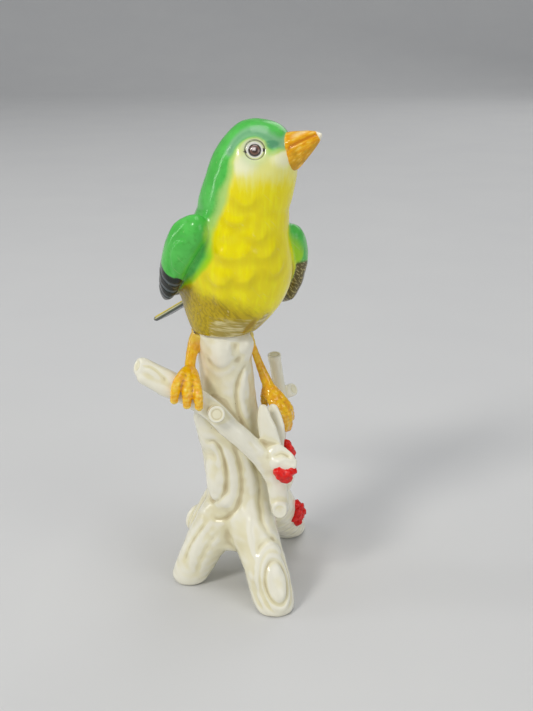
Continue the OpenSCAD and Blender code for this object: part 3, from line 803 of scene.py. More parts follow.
class StumpSettings(bpy.types.PropertyGroup):
    """How the stump, its branches and its leaves are made."""
    spacing: bpy.props.FloatProperty(
        name="Detail", description="Distance between the points of the surface",
        default=0.00044, min=0.0003, unit="LENGTH")
    soften: bpy.props.FloatProperty(
        name="Soften", description="Width of the edges that the glaze rounds off",
        default=0.00085, min=0.0002, unit="LENGTH")
    pool: bpy.props.FloatProperty(
        name="Glaze pool", description="Width of the hollows that the glaze fills",
        default=0.0018, min=0.0005, unit="LENGTH")
    depth: bpy.props.FloatProperty(
        name="Carving", description="Depth of the carving, where 1 is as modelled",
        default=1.0, min=0.0, max=2.0)


class FIGURINE_OT_stump(bpy.types.Operator):
    """Make the stump with its branches, twigs and leaves"""
    bl_idname = "figurine.stump"
    bl_label = "Stump, branches and leaves"

    def execute(self, context):
        settings = context.scene.figurine_stump
        block = Block(STUMP_PARTS, settings.spacing / MM)
        whole = block.distance(STUMP_PARTS)
        small = block.distance(STUMP_PARTS[1:])
        fine = block.blur(whole, 0.55 * settings.soften / MM)
        soft = block.blur(whole, 1.25 * settings.soften / MM)
        plain = step(block.blur(small, 0.5), 0.4, 2.6)
        field = fine + (soft - fine) * plain
        field = np.minimum(field, block.blur(whole, settings.pool / MM) + 0.05)
        skin = block.surface(field)
        skin.relax(3)
        carve_stump(skin, settings)
        cut_pieces(skin, nearest_parts(block, skin, STUMP_PARTS), STUMP_PARTS, ivory_glaze())
        return {"FINISHED"}


# ---------------------------------------------------------------- the bird

# The bird's middle line from the belly up: points in shares of the box of body and head.
SPINE = (
    (0.359, 0.382, 0.000), (0.447, 0.471, 0.146), (0.483, 0.471, 0.251),
    (0.490, 0.442, 0.335), (0.505, 0.412, 0.432), (0.526, 0.386, 0.516),
    (0.553, 0.361, 0.600), (0.599, 0.335, 0.683), (0.642, 0.301, 0.767),
    (0.652, 0.284, 0.837), (0.670, 0.280, 1.000),
)
FACE_HEADING = 68.0

# Where the breast's yellow ends on the bird's right: points in shares of the box of body and head.
BREAST_LINE = (
    (0.000, 0.335, 0.209), (0.064, 0.286, 0.262), (0.114, 0.208, 0.294),
    (0.213, 0.112, 0.357), (0.268, 0.084, 0.416), (0.273, 0.097, 0.467),
    (0.271, 0.061, 0.526), (0.319, 0.097, 0.591), (0.367, 0.076, 0.647),
    (0.440, 0.046, 0.736), (0.488, 0.040, 0.796),
)

# Where it ends on the bird's left: height in mm and heading in degrees.
BREAST_EDGE = ((108.0, 118.0), (112.0, 104.0), (119.6, 90.0), (129.0, 80.0), (133.0, 90.0),
               (137.0, 106.0), (142.0, 118.0), (158.0, 130.0))

# The lower edge of the green cap: distance forward on the head and height, both in mm.
CAP_EDGE = (
    (-9.6, 134.0), (-8.7, 136.4), (-6.8, 140.4), (-3.8, 146.8), (-2.4, 151.1), (-2.2, 154.0),
    (-1.9, 156.5), (-0.6, 158.9), (1.4, 160.4), (4.0, 160.8), (6.4, 159.6), (7.6, 157.8),
    (8.8, 156.8), (10.5, 157.3), (13.0, 158.4),
)

# The pale line over the eye: distance forward on the head and height, both in mm.
BROW_LINE = (
    (-3.6, 156.6), (-2.2, 159.6), (0.2, 161.8), (3.6, 162.3), (6.6, 160.8), (9.0, 159.2), (11.0, 159.0),
)

# Cream patches of the cheek: the middle in shares of the head's box, the radii in mm, softness.
CREAM_PATCHES = (
    ((0.847, 0.118, 0.614), (7.4, 7.4, 5.6), 1.0),
    ((0.479, 0.024, 0.556), (7.4, 7.4, 6.4), 1.0),
    ((0.560, 0.161, 0.713), (6.2, 4.6, 5.8), 0.7),
)

# Where the black feathers begin: three corners of a plane, in shares of each wing's box.
BLACK_EDGE_RIGHT = ((0.099, 0.191, 0.550), (0.426, 0.100, 0.431), (0.151, 0.485, 0.720))
BLACK_EDGE_LEFT = ((0.917, 0.181, 0.523), (1.006, 0.211, 0.550), (0.969, 0.564, 0.672))

# Space in mm between two barbs of a black feather.
BARB_GAP = 3.4

# Middles of the rounded lobe and of the tuft under it, in shares of the right wing's box.
WING_LOBE = (0.717, 0.057, 0.635)
WING_FUZZ = (0.483, 0.128, 0.320)

# The groove round the lobe of the right wing and the ridge inside it, in shares of its box.
LOBE_GROOVE = (
    (0.629, 0.008, 0.814), (0.481, 0.029, 0.800), (0.347, 0.055, 0.749), (0.283, 0.072, 0.666),
    (0.275, 0.078, 0.568), (0.302, 0.094, 0.474), (0.405, 0.106, 0.417), (0.419, 0.616, 0.235),
)
LOBE_RIDGE = (
    (0.608, 0.011, 0.770), (0.478, 0.029, 0.748), (0.380, 0.046, 0.683), (0.371, 0.057, 0.574),
    (0.399, 0.074, 0.499),
)

# The line where the beak closes, in shares of the beak's box.
BITE_LINE = (
    (0.058, 0.025, 0.529), (0.135, 0.036, 0.649), (0.391, 0.037, 0.770), (0.673, 0.048, 0.890),
    (0.905, 0.079, 0.959),
)

# Strokes along the beak: distance above the bite, height and width, all in mm.
BEAK_STROKES = (
    (1.6, 0.16, 0.55), (2.9, 0.12, 0.5), (-1.5, 0.14, 0.5), (-2.8, 0.14, 0.55), (-4.2, 0.10, 0.5),
)

# Rounded tufts down the breast: place in shares of the box of body and head, radius in mm.
TUFTS = (
    ((0.586, 0.027, 0.690), 3.6), ((0.498, 0.023, 0.614), 4.0),
    ((0.680, 0.042, 0.534), 3.6), ((0.483, 0.023, 0.494), 6.6),
    ((0.725, 0.057, 0.474), 5.2), ((0.814, 0.106, 0.384), 4.4),
    ((0.543, 0.027, 0.368), 5.0), ((0.367, 0.040, 0.349), 4.6),
)


def bird_middle(height):
    """The bird's middle line, in mm, at these heights."""
    line = np.array([spot(BIRD, *point) for point in SPINE])
    return np.stack([np.interp(height, line[:, 2], line[:, 0]), np.interp(height, line[:, 2], line[:, 1])], 1)


def bird_places(points):
    """Heading round the bird's middle line in degrees, and distance forward on the head in mm."""
    offset = points[:, :2] - bird_middle(points[:, 2])
    heading = np.degrees(np.arctan2(offset[:, 0], -offset[:, 1]))
    centre = spot(BIRD, *SPINE[-2])
    forward = (points - centre) @ ahead(FACE_HEADING)
    return heading, forward


def past_plane(points, corners):
    """How far each point is past the plane through three corners."""
    first, second, third = corners
    normal = unit(np.cross(second - first, third - first))
    return (points - first) @ normal


def paint_bird(skin, parts):
    """Paints the masks that the bird's enamel is mixed from; parts is each point's nearness to
    the wings."""
    points = skin.points
    z = points[:, 2]
    heading, forward = bird_places(points)
    waver = ripple(points, 8.0, 11)
    line = np.array([spot(BIRD, *point) for point in BREAST_LINE])
    table = np.array(BREAST_EDGE)
    left = np.interp(z, line[:, 2], line[:, 0]) - points[:, 0]
    right = 0.25 * (heading - np.interp(z, table[:, 0], table[:, 1]))
    outside = np.maximum(np.maximum(left, 0.25 * (-62.0 - heading)), right)
    blend = np.interp(z, (112.0, 120.0, 130.0, 140.0), (2.6, 2.4, 2.4, 2.9))
    around = np.abs((heading - 30.0 + 180.0) % 360.0 - 180.0)
    sides = 0.5 + 0.5 * np.clip((outside + 0.6 + 0.4 * waver) / blend, -1.0, 1.0)
    floor = np.interp(around, (55.0, 90.0, 180.0), (112.6, 111.0, 100.0))
    sides *= step(z + 0.6 * waver, floor, floor + 2.4)
    cap = np.array(CAP_EDGE)
    side_view = np.stack([forward, z], 1)
    gap = beside_line(side_view, smooth_line(cap))[0]
    gap *= np.where(z > np.interp(forward, cap[:, 0], cap[:, 1]), 1.0, -1.0)
    soft = np.interp(z, (142.0, 148.0, 154.0, 158.0, 160.0), (2.8, 2.5, 2.0, 1.2, 0.6))
    crown = 0.5 + 0.5 * np.clip((gap + 0.25 * waver * soft) / soft, -1.0, 1.0)
    upper = step(z, 140.0, 147.0)
    green = sides * (1.0 - upper) + crown * upper
    wings = parts["wing_right"] + parts["wing_left"]
    outer = step(np.abs((heading - 22.0 + 180.0) % 360.0 - 180.0), 62.0, 72.0)
    green = np.maximum(green, wings * outer)
    skin.paint["green"] = green

    skin.paint["pallor"] = step(z, 122.0, 138.0)
    top = np.interp(heading, (-60.0, 0.0, 30.0, 60.0, 90.0), (116.0, 111.5, 106.5, 103.5, 102.5))
    skin.paint["mustard"] = step(top - z - 0.9 * waver, -3.5, 8.0) * (1.0 - green)
    open_face = 1.0 - step(green, 0.1, 0.6)
    skin.paint["pale"] = step(z + 0.6 * waver, 141.0, 155.0) * open_face
    patches = [blob(points, spot("bird_head", *middle), radii, soft_edge)
               for middle, radii, soft_edge in CREAM_PATCHES]
    skin.paint["cream"] = 0.9 * np.max(patches, axis=0) * open_face
    distance = beside_line(side_view, smooth_line(BROW_LINE))[0]
    skin.paint["brow"] = np.exp(-(distance / 1.9) ** 2) * crown * step(z, 152.0, 156.0)
    lore = blob(np.stack([forward, np.zeros(len(z)), z], 1), (7.8, 0.0, 158.8), (3.4, 1.0, 1.9), 0.7)
    skin.paint["lore"] = np.maximum(lore, 0.45 * np.exp(-(distance / 1.0) ** 2)) * crown
    skin.paint["forehead"] = step(forward, 9.2, 11.4) * crown

    def near(x, y, width, height):
        """An oval on the lower breast, by heading in degrees and height in mm."""
        return step(-np.hypot((heading - x) / width, (z - y) / height), -1.1, -0.2)

    skin.paint["band"] = step(-np.abs(heading - 6.0), -36.0, -16.0) * step(-z, -104.5, -100.0)
    skin.paint["band"] = np.maximum(skin.paint["band"], near(45.0, 101.0, 9.0, 4.0))
    skin.paint["patch"] = near(32.0, 99.6, 8.0, 4.6)

    right_edge = [spot("wing_right", *point) for point in BLACK_EDGE_RIGHT]
    left_edge = [spot("wing_left", *point) for point in BLACK_EDGE_LEFT]
    across, rise = skin.flat(spot("wing_right", *WING_LOBE), -6.0, 19.0)[:2]
    beyond = step(np.hypot(across / 7.6, rise / 8.6) + 0.02 * waver, 0.95, 1.03)
    past_right = -past_plane(points, right_edge)
    past_left = -past_plane(points, left_edge)
    black = (parts["wing_right"] * step(past_right + 0.4 * waver, 0.0, 0.8) * beyond
             + parts["wing_left"] * step(past_left + 0.4 * waver, 0.0, 0.8))
    skin.paint["black"] = black
    past = np.maximum(past_right * parts["wing_right"], past_left * parts["wing_left"])
    shaft = 0.5 + 0.5 * np.cos(2 * math.pi * past / BARB_GAP)
    skin.paint["barb"] = shaft ** 6
    back = step(points[:, 1], 2.0, 8.0)
    skin.paint["bar"] = black * back * (shaft ** 14) * 0.9
    under = skin.facing((0.2, -0.75, -0.6), 0.25, 0.6) * parts["wing_left"] * step(-z, -119.5, -116.5)
    skin.paint["olive"] = under
    skin.paint["black"] = black * (1.0 - under)
    fuzz = blob(points, spot("wing_right", *WING_FUZZ), (3.8, 3.8, 2.6), 1.2)
    skin.paint["fuzz"] = 0.75 * fuzz
    skin.paint["rim"] = eye_corners(points)
    eye = spot("eye_right", 0.5, 0.5, 0.5)
    skin.paint["veil"] = np.exp(-((np.linalg.norm(points - eye, axis=1) - 3.4) / 2.2) ** 2) * open_face


def eye_corners(points):
    """1 on the dark outline round each eye and on its two pointed corners."""
    dark = np.zeros(len(points))
    for eye in ("eye_right", "eye_left"):
        middle, out = eye_axis(eye)
        offset = points - middle
        offset = offset - np.outer(offset @ out, out)
        front = unit(ahead(FACE_HEADING) - (ahead(FACE_HEADING) @ out) * out)
        up = np.cross(out, front) * (1.0 if np.cross(out, front)[2] > 0 else -1.0)
        across, rise = offset @ front, offset @ up
        radius = BOXES[eye][1][2] - middle[2]
        near = step(-np.linalg.norm(points - middle, axis=1), -2.4 * radius, -1.9 * radius)
        ring = np.exp(-((np.hypot(across, rise) / radius - 1.05) / 0.09) ** 2)
        corner = np.zeros(len(points))
        for lean, reach in ((0.16, 1.45), (math.pi + 0.34, 1.45)):
            along = across * math.cos(lean) + rise * math.sin(lean)
            aside = np.abs(rise * math.cos(lean) - across * math.sin(lean))
            width = radius * (reach - along / radius) * 0.45
            corner = np.maximum(corner, step(width - aside, 0.0, 0.35) * (along > 0))
        dark = np.maximum(dark, near * np.maximum(0.75 * ring, 0.85 * corner))
    return dark


def eye_axis(eye):
    """The middle of an eye and the direction that it looks in."""
    centre = spot(eye, 0.5, 0.5, 0.5)
    base = spot(BIRD, *SPINE[-2])
    base[2] = centre[2] - 3.6
    base[:2] += (centre[:2] - base[:2]) * 0.12
    return centre, unit(centre - base)


def carve_bird(skin, settings, parts):
    """Carves the breast tufts, the belly strokes and the feathers of the wings."""
    points = skin.points
    height = np.zeros(len(points))
    shade = np.zeros(len(points))
    for centre, radius in TUFTS:
        middle = spot(BIRD, *centre)
        towards = bird_places(middle[None, :])[0][0]
        across, rise, front, out = skin.flat(middle, towards, 0.0)
        reach = np.hypot(across, rise)
        lower = step(-rise, -0.35 * radius, 0.5 * radius) * skin.facing(out, 0.2, 0.6)
        height += settings.tuft * lower * (reach / radius) ** 2 * step(-reach, -radius - 0.3, -radius + 1.4)
        shade = np.maximum(shade, lower * np.exp(-((reach - radius - 0.5) / 1.7) ** 2))
    skin.paint["shade"] = shade
    heading = bird_places(points)[0]
    z = points[:, 2]
    belly = step(-z, -113.0, -107.0) * step(-heading, 0.0, 25.0) * (1 - parts["wing_right"])
    curve = z * 0.9 + 0.16 * heading + 0.9 * ripple(points, 9.0, 21)
    height -= 0.14 * belly * (0.5 + 0.5 * np.sin(2 * math.pi * curve / 1.5)) ** 3
    lobe = [spot("wing_right", *point) for point in LOBE_GROOVE]
    height -= 0.5 * skin.line(lobe, 0.8, 0.12)
    inner = [spot("wing_right", *point) for point in LOBE_RIDGE]
    height += 0.35 * skin.line(inner, 1.8, 0.2)
    height -= 0.28 * skin.paint["black"] * skin.paint["barb"]
    height += 0.03 * ripple(points, 5.0, 31)
    skin.carve(height)


class BirdSettings(bpy.types.PropertyGroup):
    """How the bird is made."""
    spacing: bpy.props.FloatProperty(
        name="Detail", description="Distance between the points of the surface",
        default=0.00036, min=0.0003, unit="LENGTH")
    soften: bpy.props.FloatProperty(
        name="Soften", description="Width of the edges that the enamel rounds off",
        default=0.0013, min=0.0003, unit="LENGTH")
    fillet: bpy.props.FloatProperty(
        name="Wing fillet", description="Width of the hollow between a wing and the body",
        default=0.0048, min=0.0005, unit="LENGTH")
    tuft: bpy.props.FloatProperty(
        name="Tuft height", description="How far the breast tufts stand out, in millimetres",
        default=0.42, min=0.0, max=1.5)
    small_spacing: bpy.props.FloatProperty(
        name="Fine detail", description="Distance between the points of the beak, tail and legs",
        default=0.00022, min=0.00015, unit="LENGTH")


def bird_block(settings):
    """The block round the bird and the distance field of its skin."""
    block = Block(BIRD_PARTS, settings.spacing / MM)
    whole = block.distance(BIRD_PARTS)
    body = block.distance(BIRD)
    soft = block.blur(whole, settings.soften / MM)
    fine = block.blur(whole, 0.5 * settings.soften / MM)
    plain = step(-block.blur(body, 0.6), -1.2, -0.2)
    field = fine + (soft - fine) * plain
    field = np.minimum(field, block.blur(whole, settings.fillet / MM) + 0.02)
    return block, field


class FIGURINE_OT_bird(bpy.types.Operator):
    """Make the bird's body, head and wings as one skin, cut into its parts"""
    bl_idname = "figurine.bird"
    bl_label = "Body, head and wings"

    def execute(self, context):
        settings = context.scene.figurine_bird
        block, field = bird_block(settings)
        skin = block.surface(field)
        body = block.at(block.blur(block.distance(BIRD), 0.5), skin.points)
        skin.relax(40, step(-body, -0.6, 0.1))
        parts = {}
        for wing in ("wing_right", "wing_left"):
            gap = block.at(block.blur(block.distance([wing]), 0.5), skin.points)
            parts[wing] = step(body - gap, -0.4, 1.2)
        paint_bird(skin, parts)
        carve_bird(skin, settings, parts)
        # The crevice depth that the painted shade in the creases follows.
        skin.paint["hollow"] = skin.hollow(10)
        labels = nearest_parts(block, skin, BIRD_PARTS)
        cut_pieces(skin, labels, BIRD_PARTS, bird_enamel())
        context.scene["figurine_eye_seats"] = json.dumps(
            {eye: eye_seat(skin, eye) for eye in ("eye_right", "eye_left")})
        return {"FINISHED"}


def eye_seat(skin, eye):
    """Where an eye sits on the skin, and the direction that it looks in."""
    centre, out = eye_axis(eye)
    offset = skin.points - centre
    along = offset @ out
    beside = np.linalg.norm(offset - along[:, None] * out, axis=1)
    close = (beside < 1.2) & (np.abs(along) < 8.0)
    if not close.any():
        raise RuntimeError(f"{eye} finds no skin to sit on")
    return [list(centre + out * along[close].mean()), list(out)]


# The eye's outline: distance from its middle and height above the skin, in shares of its radius.
EYE_OUTLINE = ((0.0, 0.36), (0.16, 0.355), (0.32, 0.33), (0.46, 0.285), (0.58, 0.215), (0.66, 0.135),
               (0.70, 0.105), (0.74, 0.12), (0.80, 0.155), (0.86, 0.15), (0.92, 0.11), (0.97, 0.07),
               (1.0, 0.0), (0.98, -0.12), (0.90, -0.30), (0.60, -0.42), (0.0, -0.45))


class FIGURINE_OT_eyes(bpy.types.Operator):
    """Turn the two ringed eyes and seat them on the head"""
    bl_idname = "figurine.eyes"
    bl_label = "Eyes"

    def execute(self, context):
        seats = json.loads(context.scene["figurine_eye_seats"])
        material = eye_enamel()
        for eye, (seat, out) in seats.items():
            radius = (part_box(eye)[1][2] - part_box(eye)[0][2]) / MM / 2 * 1.04
            seat, out = np.array(seat), np.array(out)
            side = unit(np.cross((0, 0, 1.0), out))
            up = np.cross(out, side)
            count = 72
            points, faces, reach, glint = [], [], [], []
            for ring, (far, high) in enumerate(EYE_OUTLINE):
                around = 1 if far == 0.0 else count
                first = len(points)
                for index in range(around):
                    turn = 2 * math.pi * index / count
                    across, rise = far * math.cos(turn), far * math.sin(turn)
                    points.append(seat + radius * (across * side + rise * up + (high + 0.02) * out))
                    reach.append(far if high > -0.1 else 1.0)
                    bright = np.hypot((across + 0.10) / 0.26, (rise - 0.10) / 0.22)
                    glint.append(float(step(-bright, -1.0, -0.55)) if high > 0.2 else 0.0)
                if ring:
                    for index in range(count):
                        after = (index + 1) % count
                        if around == 1:
                            faces.append((last + after, last + index, first))
                        elif was_one:
                            faces.append((last, first + index, first + after))
                        else:
                            faces.append((last + index, first + index, first + after, last + after))
                last, was_one = first, around == 1
            build_piece(eye, points, faces, material, (eye,),
                        paint={"reach": reach, "glint": glint})
        return {"FINISHED"}


def seated_skin(settings, nodes, hosts, soften, pool, fillet, host_soften):
    """The skin of some nodes, with its own hollows filled to the width of the pool and a collar
    that runs out softly onto what it grows from."""
    block = Block(nodes, settings.small_spacing / MM, 3.0)
    reach = 14.0
    own = block.distance(nodes, reach)
    filled = np.minimum(block.blur(own, soften), block.blur(own, pool) + 0.04)
    host = block.blur(block.distance(hosts, reach), host_soften)
    field = soft_union(filled, host + 0.06, fillet)
    field = np.maximum(field, -(host + 0.9))
    field = np.maximum(field, own - 0.8 * fillet)
    skin = block.surface(block.blur(field, 0.3))
    skin.relax(2)
    return block, skin


class FIGURINE_OT_beak(bpy.types.Operator):
    """Make the beak with its bite line and brushed ridges"""
    bl_idname = "figurine.beak"
    bl_label = "Beak"

    def execute(self, context):
        settings = context.scene.figurine_bird
        skin = seated_skin(settings, ("beak",), BIRD, 0.3, 0.4, 0.8, 1.3)[1]
        bite = np.array([spot("beak", *point) for point in BITE_LINE])
        forward = unit(bite[-1] - bite[0])
        side = unit(np.cross(forward, (0, 0, 1.0)))
        rise = np.cross(side, forward)
        offset = skin.points - bite[0]
        along, high = offset @ forward, offset @ rise
        span = np.linalg.norm(bite[-1] - bite[0])
        level = np.interp(along, (bite - bite[0]) @ forward, (bite - bite[0]) @ rise)
        gap = high - level
        shown = step(along, -1.0, 1.5) * step(-along, -span * 1.02, -span * 0.86)
        height = -0.32 * np.exp(-(gap / 0.42) ** 2) * shown
        taper = 1.0 - 0.62 * np.clip(along / span, 0, 1)
        for place, rise_up, width in BEAK_STROKES:
            height += rise_up * np.exp(-((gap - place * taper) / (width * taper)) ** 2) * shown
        skin.carve(height)
        skin.paint["bite"] = np.exp(-((gap + 0.1) / 0.5) ** 2) * shown
        # A painted highlight along the upper ridge of the beak.
        ridge_highlight = np.exp(-((gap - 1.9) / 0.55) ** 2) * step(along, 2.0, 5.0)
        skin.paint["ridge_highlight"] = ridge_highlight * step(-along, -span, -span + 3)
        skin.paint["lower"] = step(-gap, 0.2, 3.2)
        skin.paint["tip"] = step(along, span - 1.6, span - 0.2)
        skin.paint["hollow"] = skin.hollow(8)
        skin_piece(skin, "beak", beak_enamel())
        return {"FINISHED"}


class FIGURINE_OT_legs(bpy.types.Operator):
    """Make the legs and feet with their ringed toes"""
    bl_idname = "figurine.legs"
    bl_label = "Legs and feet"

    def execute(self, context):
        settings = context.scene.figurine_bird
        material = leg_enamel()
        hosts = (("bird_body", "front_branch", "stump"), ("bird_body", "perch_branch"))
        for nodes, under in zip(LEG_PARTS, hosts):
            block, skin = seated_skin(settings, nodes, under, 0.4, 1.1, 1.0, 0.9)
            z = skin.points[:, 2]
            foot_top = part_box(nodes[1])[1][2] / MM
            toes = step(-z, -foot_top - 1.0, -foot_top + 2.0)
            ring = z + 0.35 * ripple(skin.points, 3.0, 41)
            height = -0.09 * (0.5 + 0.5 * np.sin(2 * math.pi * ring / 1.5)) ** 4 * (0.35 + 0.65 * toes)
            height += 0.05 * ripple(skin.points, 1.6, 43)
            skin.carve(height)
            skin.paint["hollow"] = skin.hollow(14)
            # Painted highlight on the ridges of the legs and toes, where the surface bulges out.
            skin.paint["ridge_highlight"] = step(-skin.paint["hollow"], 0.04, 0.2)
            pale = 1.0 if nodes[0] == "leg_left" else 0.5
            leg_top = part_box(nodes[0])[1][2] / MM
            skin.paint["pale"] = pale * step(z, leg_top - 7.0, leg_top - 1.0)
            labels = nearest_parts(block, skin, nodes)
            cut_pieces(skin, labels, nodes, material)
        return {"FINISHED"}


class FIGURINE_OT_tail(bpy.types.Operator):
    """Make the tail with its feather grooves and coloured edges"""
    bl_idname = "figurine.tail"
    bl_label = "Tail"

    def execute(self, context):
        settings = context.scene.figurine_bird
        skin = seated_skin(settings, ("tail",), BIRD_PARTS, 0.35, 0.4, 1.2, 1.0)[1]
        middle = skin.points.mean(0)
        axes = np.linalg.svd(skin.points - middle, full_matrices=False)[2]
        along, across, thick = axes
        if along[2] > 0:
            along = -along
        if thick[2] < 0:
            thick = -thick
        offset = skin.points - middle
        long, wide, high = offset @ along, offset @ across, offset @ thick
        half = np.percentile(np.abs(wide), 98)
        groove = (0.5 + 0.5 * np.cos(2 * math.pi * wide / (half * 0.5))) ** 6
        height = -0.22 * groove * step(np.abs(skin.normals @ thick), 0.4, 0.8)
        skin.carve(height)
        end = long.max()
        not_tip = step(-long, -end + 1.5, -end + 4.5)
        edge = step(np.abs(wide), half * 0.72, half * 0.9)
        side = step(-wide * (1.0 if across[0] > 0 else -1.0), half * 0.1, half * 0.5)
        top = step(high, 0.35, 0.75)
        skin.paint["yellow"] = top * np.maximum(edge, side) * not_tip
        skin.paint["stripe"] = np.exp(-((high - 0.15) / 0.22) ** 2) * edge * not_tip
        skin.paint["teal"] = np.exp(-((high + 0.4) / 0.25) ** 2) * edge * not_tip * 0.3
        skin.paint["hollow"] = skin.hollow(8)
        skin_piece(skin, "tail", tail_enamel())
        return {"FINISHED"}


# ---------------------------------------------------------------- berries

# Berry centres in shares of each cluster's box.
BERRIES = {
    "berries_upper": (
        (0.300, 0.563, 0.810), (0.611, 0.468, 0.572), (0.433, 0.214, 0.405),
        (0.700, 0.786, 0.381), (0.300, 0.722, 0.500), (0.522, 0.246, 0.715),
        (0.656, 0.532, 0.190), (0.300, 0.437, 0.214)),
    "berries_middle": (
        (0.196, 0.500, 0.751), (0.341, 0.397, 0.608), (0.514, 0.346, 0.500),
        (0.659, 0.397, 0.572), (0.804, 0.551, 0.715), (0.428, 0.551, 0.357),
        (0.601, 0.603, 0.285), (0.312, 0.654, 0.428)),
    "berries_lower": (
        (0.292, 0.331, 0.853), (0.571, 0.500, 0.686), (0.731, 0.641, 0.481),
        (0.412, 0.247, 0.611), (0.532, 0.359, 0.370), (0.452, 0.500, 0.147),
        (0.651, 0.810, 0.277), (0.173, 0.190, 0.389)),
}


class BerrySettings(bpy.types.PropertyGroup):
    """How the berries are made."""
    radius: bpy.props.FloatProperty(
        name="Radius", description="Radius of one berry", default=0.0019, min=0.0005, unit="LENGTH")
    uneven: bpy.props.FloatProperty(
        name="Unevenness", description="Height of the lumps on a berry", default=0.00045, min=0.0,
        unit="LENGTH")
    seed: bpy.props.IntProperty(name="Seed", description="Picks the berries' sizes", default=4)


def berry_tree(material):
    """Geometry nodes that put a lumpy berry on every point."""
    tree = bpy.data.node_groups.new("berries", "GeometryNodeTree")
    tree.is_modifier = True
    face = tree.interface
    face.new_socket("Points", in_out="INPUT", socket_type="NodeSocketGeometry")
    face.new_socket("Radius", in_out="INPUT", socket_type="NodeSocketFloat")
    face.new_socket("Unevenness", in_out="INPUT", socket_type="NodeSocketFloat")
    face.new_socket("Seed", in_out="INPUT", socket_type="NodeSocketInt")
    face.new_socket("Berries", in_out="OUTPUT", socket_type="NodeSocketGeometry")

    def add(kind, links=None, **settings):
        node = tree.nodes.new(kind)
        for name, value in settings.items():
            setattr(node, name, value)
        for key, value in (links or {}).items():
            if isinstance(value, bpy.types.NodeSocket):
                tree.links.new(value, node.inputs[key])
            else:
                node.inputs[key].default_value = value
        return node

    given = add("NodeGroupInput").outputs
    ball = add("GeometryNodeMeshIcoSphere", {"Radius": given["Radius"], "Subdivisions": 4})
    sizes = add("FunctionNodeRandomValue", {2: 0.84, 3: 1.12, "Seed": given["Seed"]}, data_type="FLOAT")
    turns = add("FunctionNodeRandomValue", {0: (0.0, 0.0, 0.0), 1: (6.28, 6.28, 6.28), "Seed": given["Seed"]},
                data_type="FLOAT_VECTOR")
    put = add("GeometryNodeInstanceOnPoints",
              {"Points": given["Points"], "Instance": ball.outputs["Mesh"],
               "Rotation": turns.outputs[0], "Scale": sizes.outputs[1]})
    real = add("GeometryNodeRealizeInstances", {0: put.outputs[0]})
    lump = add("ShaderNodeTexNoise", {"Scale": 620.0, "Detail": 1.0})
    centred = add("ShaderNodeMath", {0: lump.outputs["Fac"], 1: 0.5}, operation="SUBTRACT")
    height = add("ShaderNodeMath", {0: centred.outputs[0], 1: given["Unevenness"]}, operation="MULTIPLY")
    double = add("ShaderNodeMath", {0: height.outputs[0], 1: 3.0}, operation="MULTIPLY")
    outward = add("GeometryNodeInputNormal")
    push = add("ShaderNodeVectorMath", {0: outward.outputs[0], "Scale": double.outputs[0]}, operation="SCALE")
    moved = add("GeometryNodeSetPosition", {"Geometry": real.outputs[0], "Offset": push.outputs[0]})
    painted = add("GeometryNodeSetMaterial", {"Geometry": moved.outputs[0], "Material": material})
    add("NodeGroupOutput", {0: painted.outputs[0]})
    return tree


class FIGURINE_OT_berries(bpy.types.Operator):
    """Make the three clusters of red berries"""
    bl_idname = "figurine.berries"
    bl_label = "Berries"

    def execute(self, context):
        settings = context.scene.figurine_berries
        tree = berry_tree(berry_enamel())
        names = {item.name: item.identifier for item in tree.interface.items_tree
                 if item.item_type == "SOCKET" and item.in_out == "INPUT"}
        for number, (node, shares) in enumerate(BERRIES.items()):
            points = [spot(node, *share) * MM for share in shares]
            seed_mesh = bpy.data.meshes.new(node + "_points")
            seed_mesh.from_pydata([tuple(point) for point in points], [], [])
            holder = bpy.data.objects.new(node + "_points", seed_mesh)
            context.scene.collection.objects.link(holder)
            maker = holder.modifiers.new("berries", "NODES")
            maker.node_group = tree
            maker[names["Radius"]] = settings.radius
            maker[names["Unevenness"]] = settings.uneven
            maker[names["Seed"]] = settings.seed + number
            context.view_layer.update()
            graph = context.evaluated_depsgraph_get()
            mesh = bpy.data.meshes.new_from_object(holder.evaluated_get(graph))
            holder.modifiers.remove(maker)
            bpy.data.objects.remove(holder)
            mesh.shade_smooth()
            cluster = bpy.data.objects.new(node, mesh)
            context.scene.collection.objects.link(cluster)
            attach(cluster, BODY)
            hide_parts(node)
        return {"FINISHED"}


# ---------------------------------------------------------------- studio

class StudioSettings(bpy.types.PropertyGroup):
    """The floor, the lights and the camera."""
    camera_back: bpy.props.FloatProperty(
        name="Camera distance", description="Level distance from the middle of the figurine",
        default=0.3395, unit="LENGTH")
    camera_height: bpy.props.FloatProperty(
        name="Camera height", description="Height above the floor", default=0.2, unit="LENGTH")
    camera_side: bpy.props.FloatProperty(
        name="Camera side", description="Distance to the right of the middle", default=0.013,
        unit="LENGTH")
    camera_pitch: bpy.props.FloatProperty(
        name="Camera pitch", description="Angle below the horizon",
        default=math.radians(19.05), unit="ROTATION")
    view_angle: bpy.props.FloatProperty(
        name="Field of view", description="Upright field of view",
        default=math.radians(38.2), unit="ROTATION")
    brightness: bpy.props.FloatProperty(
        name="Brightness", description="Strength of all the lights, where 1 is as set up",
        default=1.0, min=0.0)


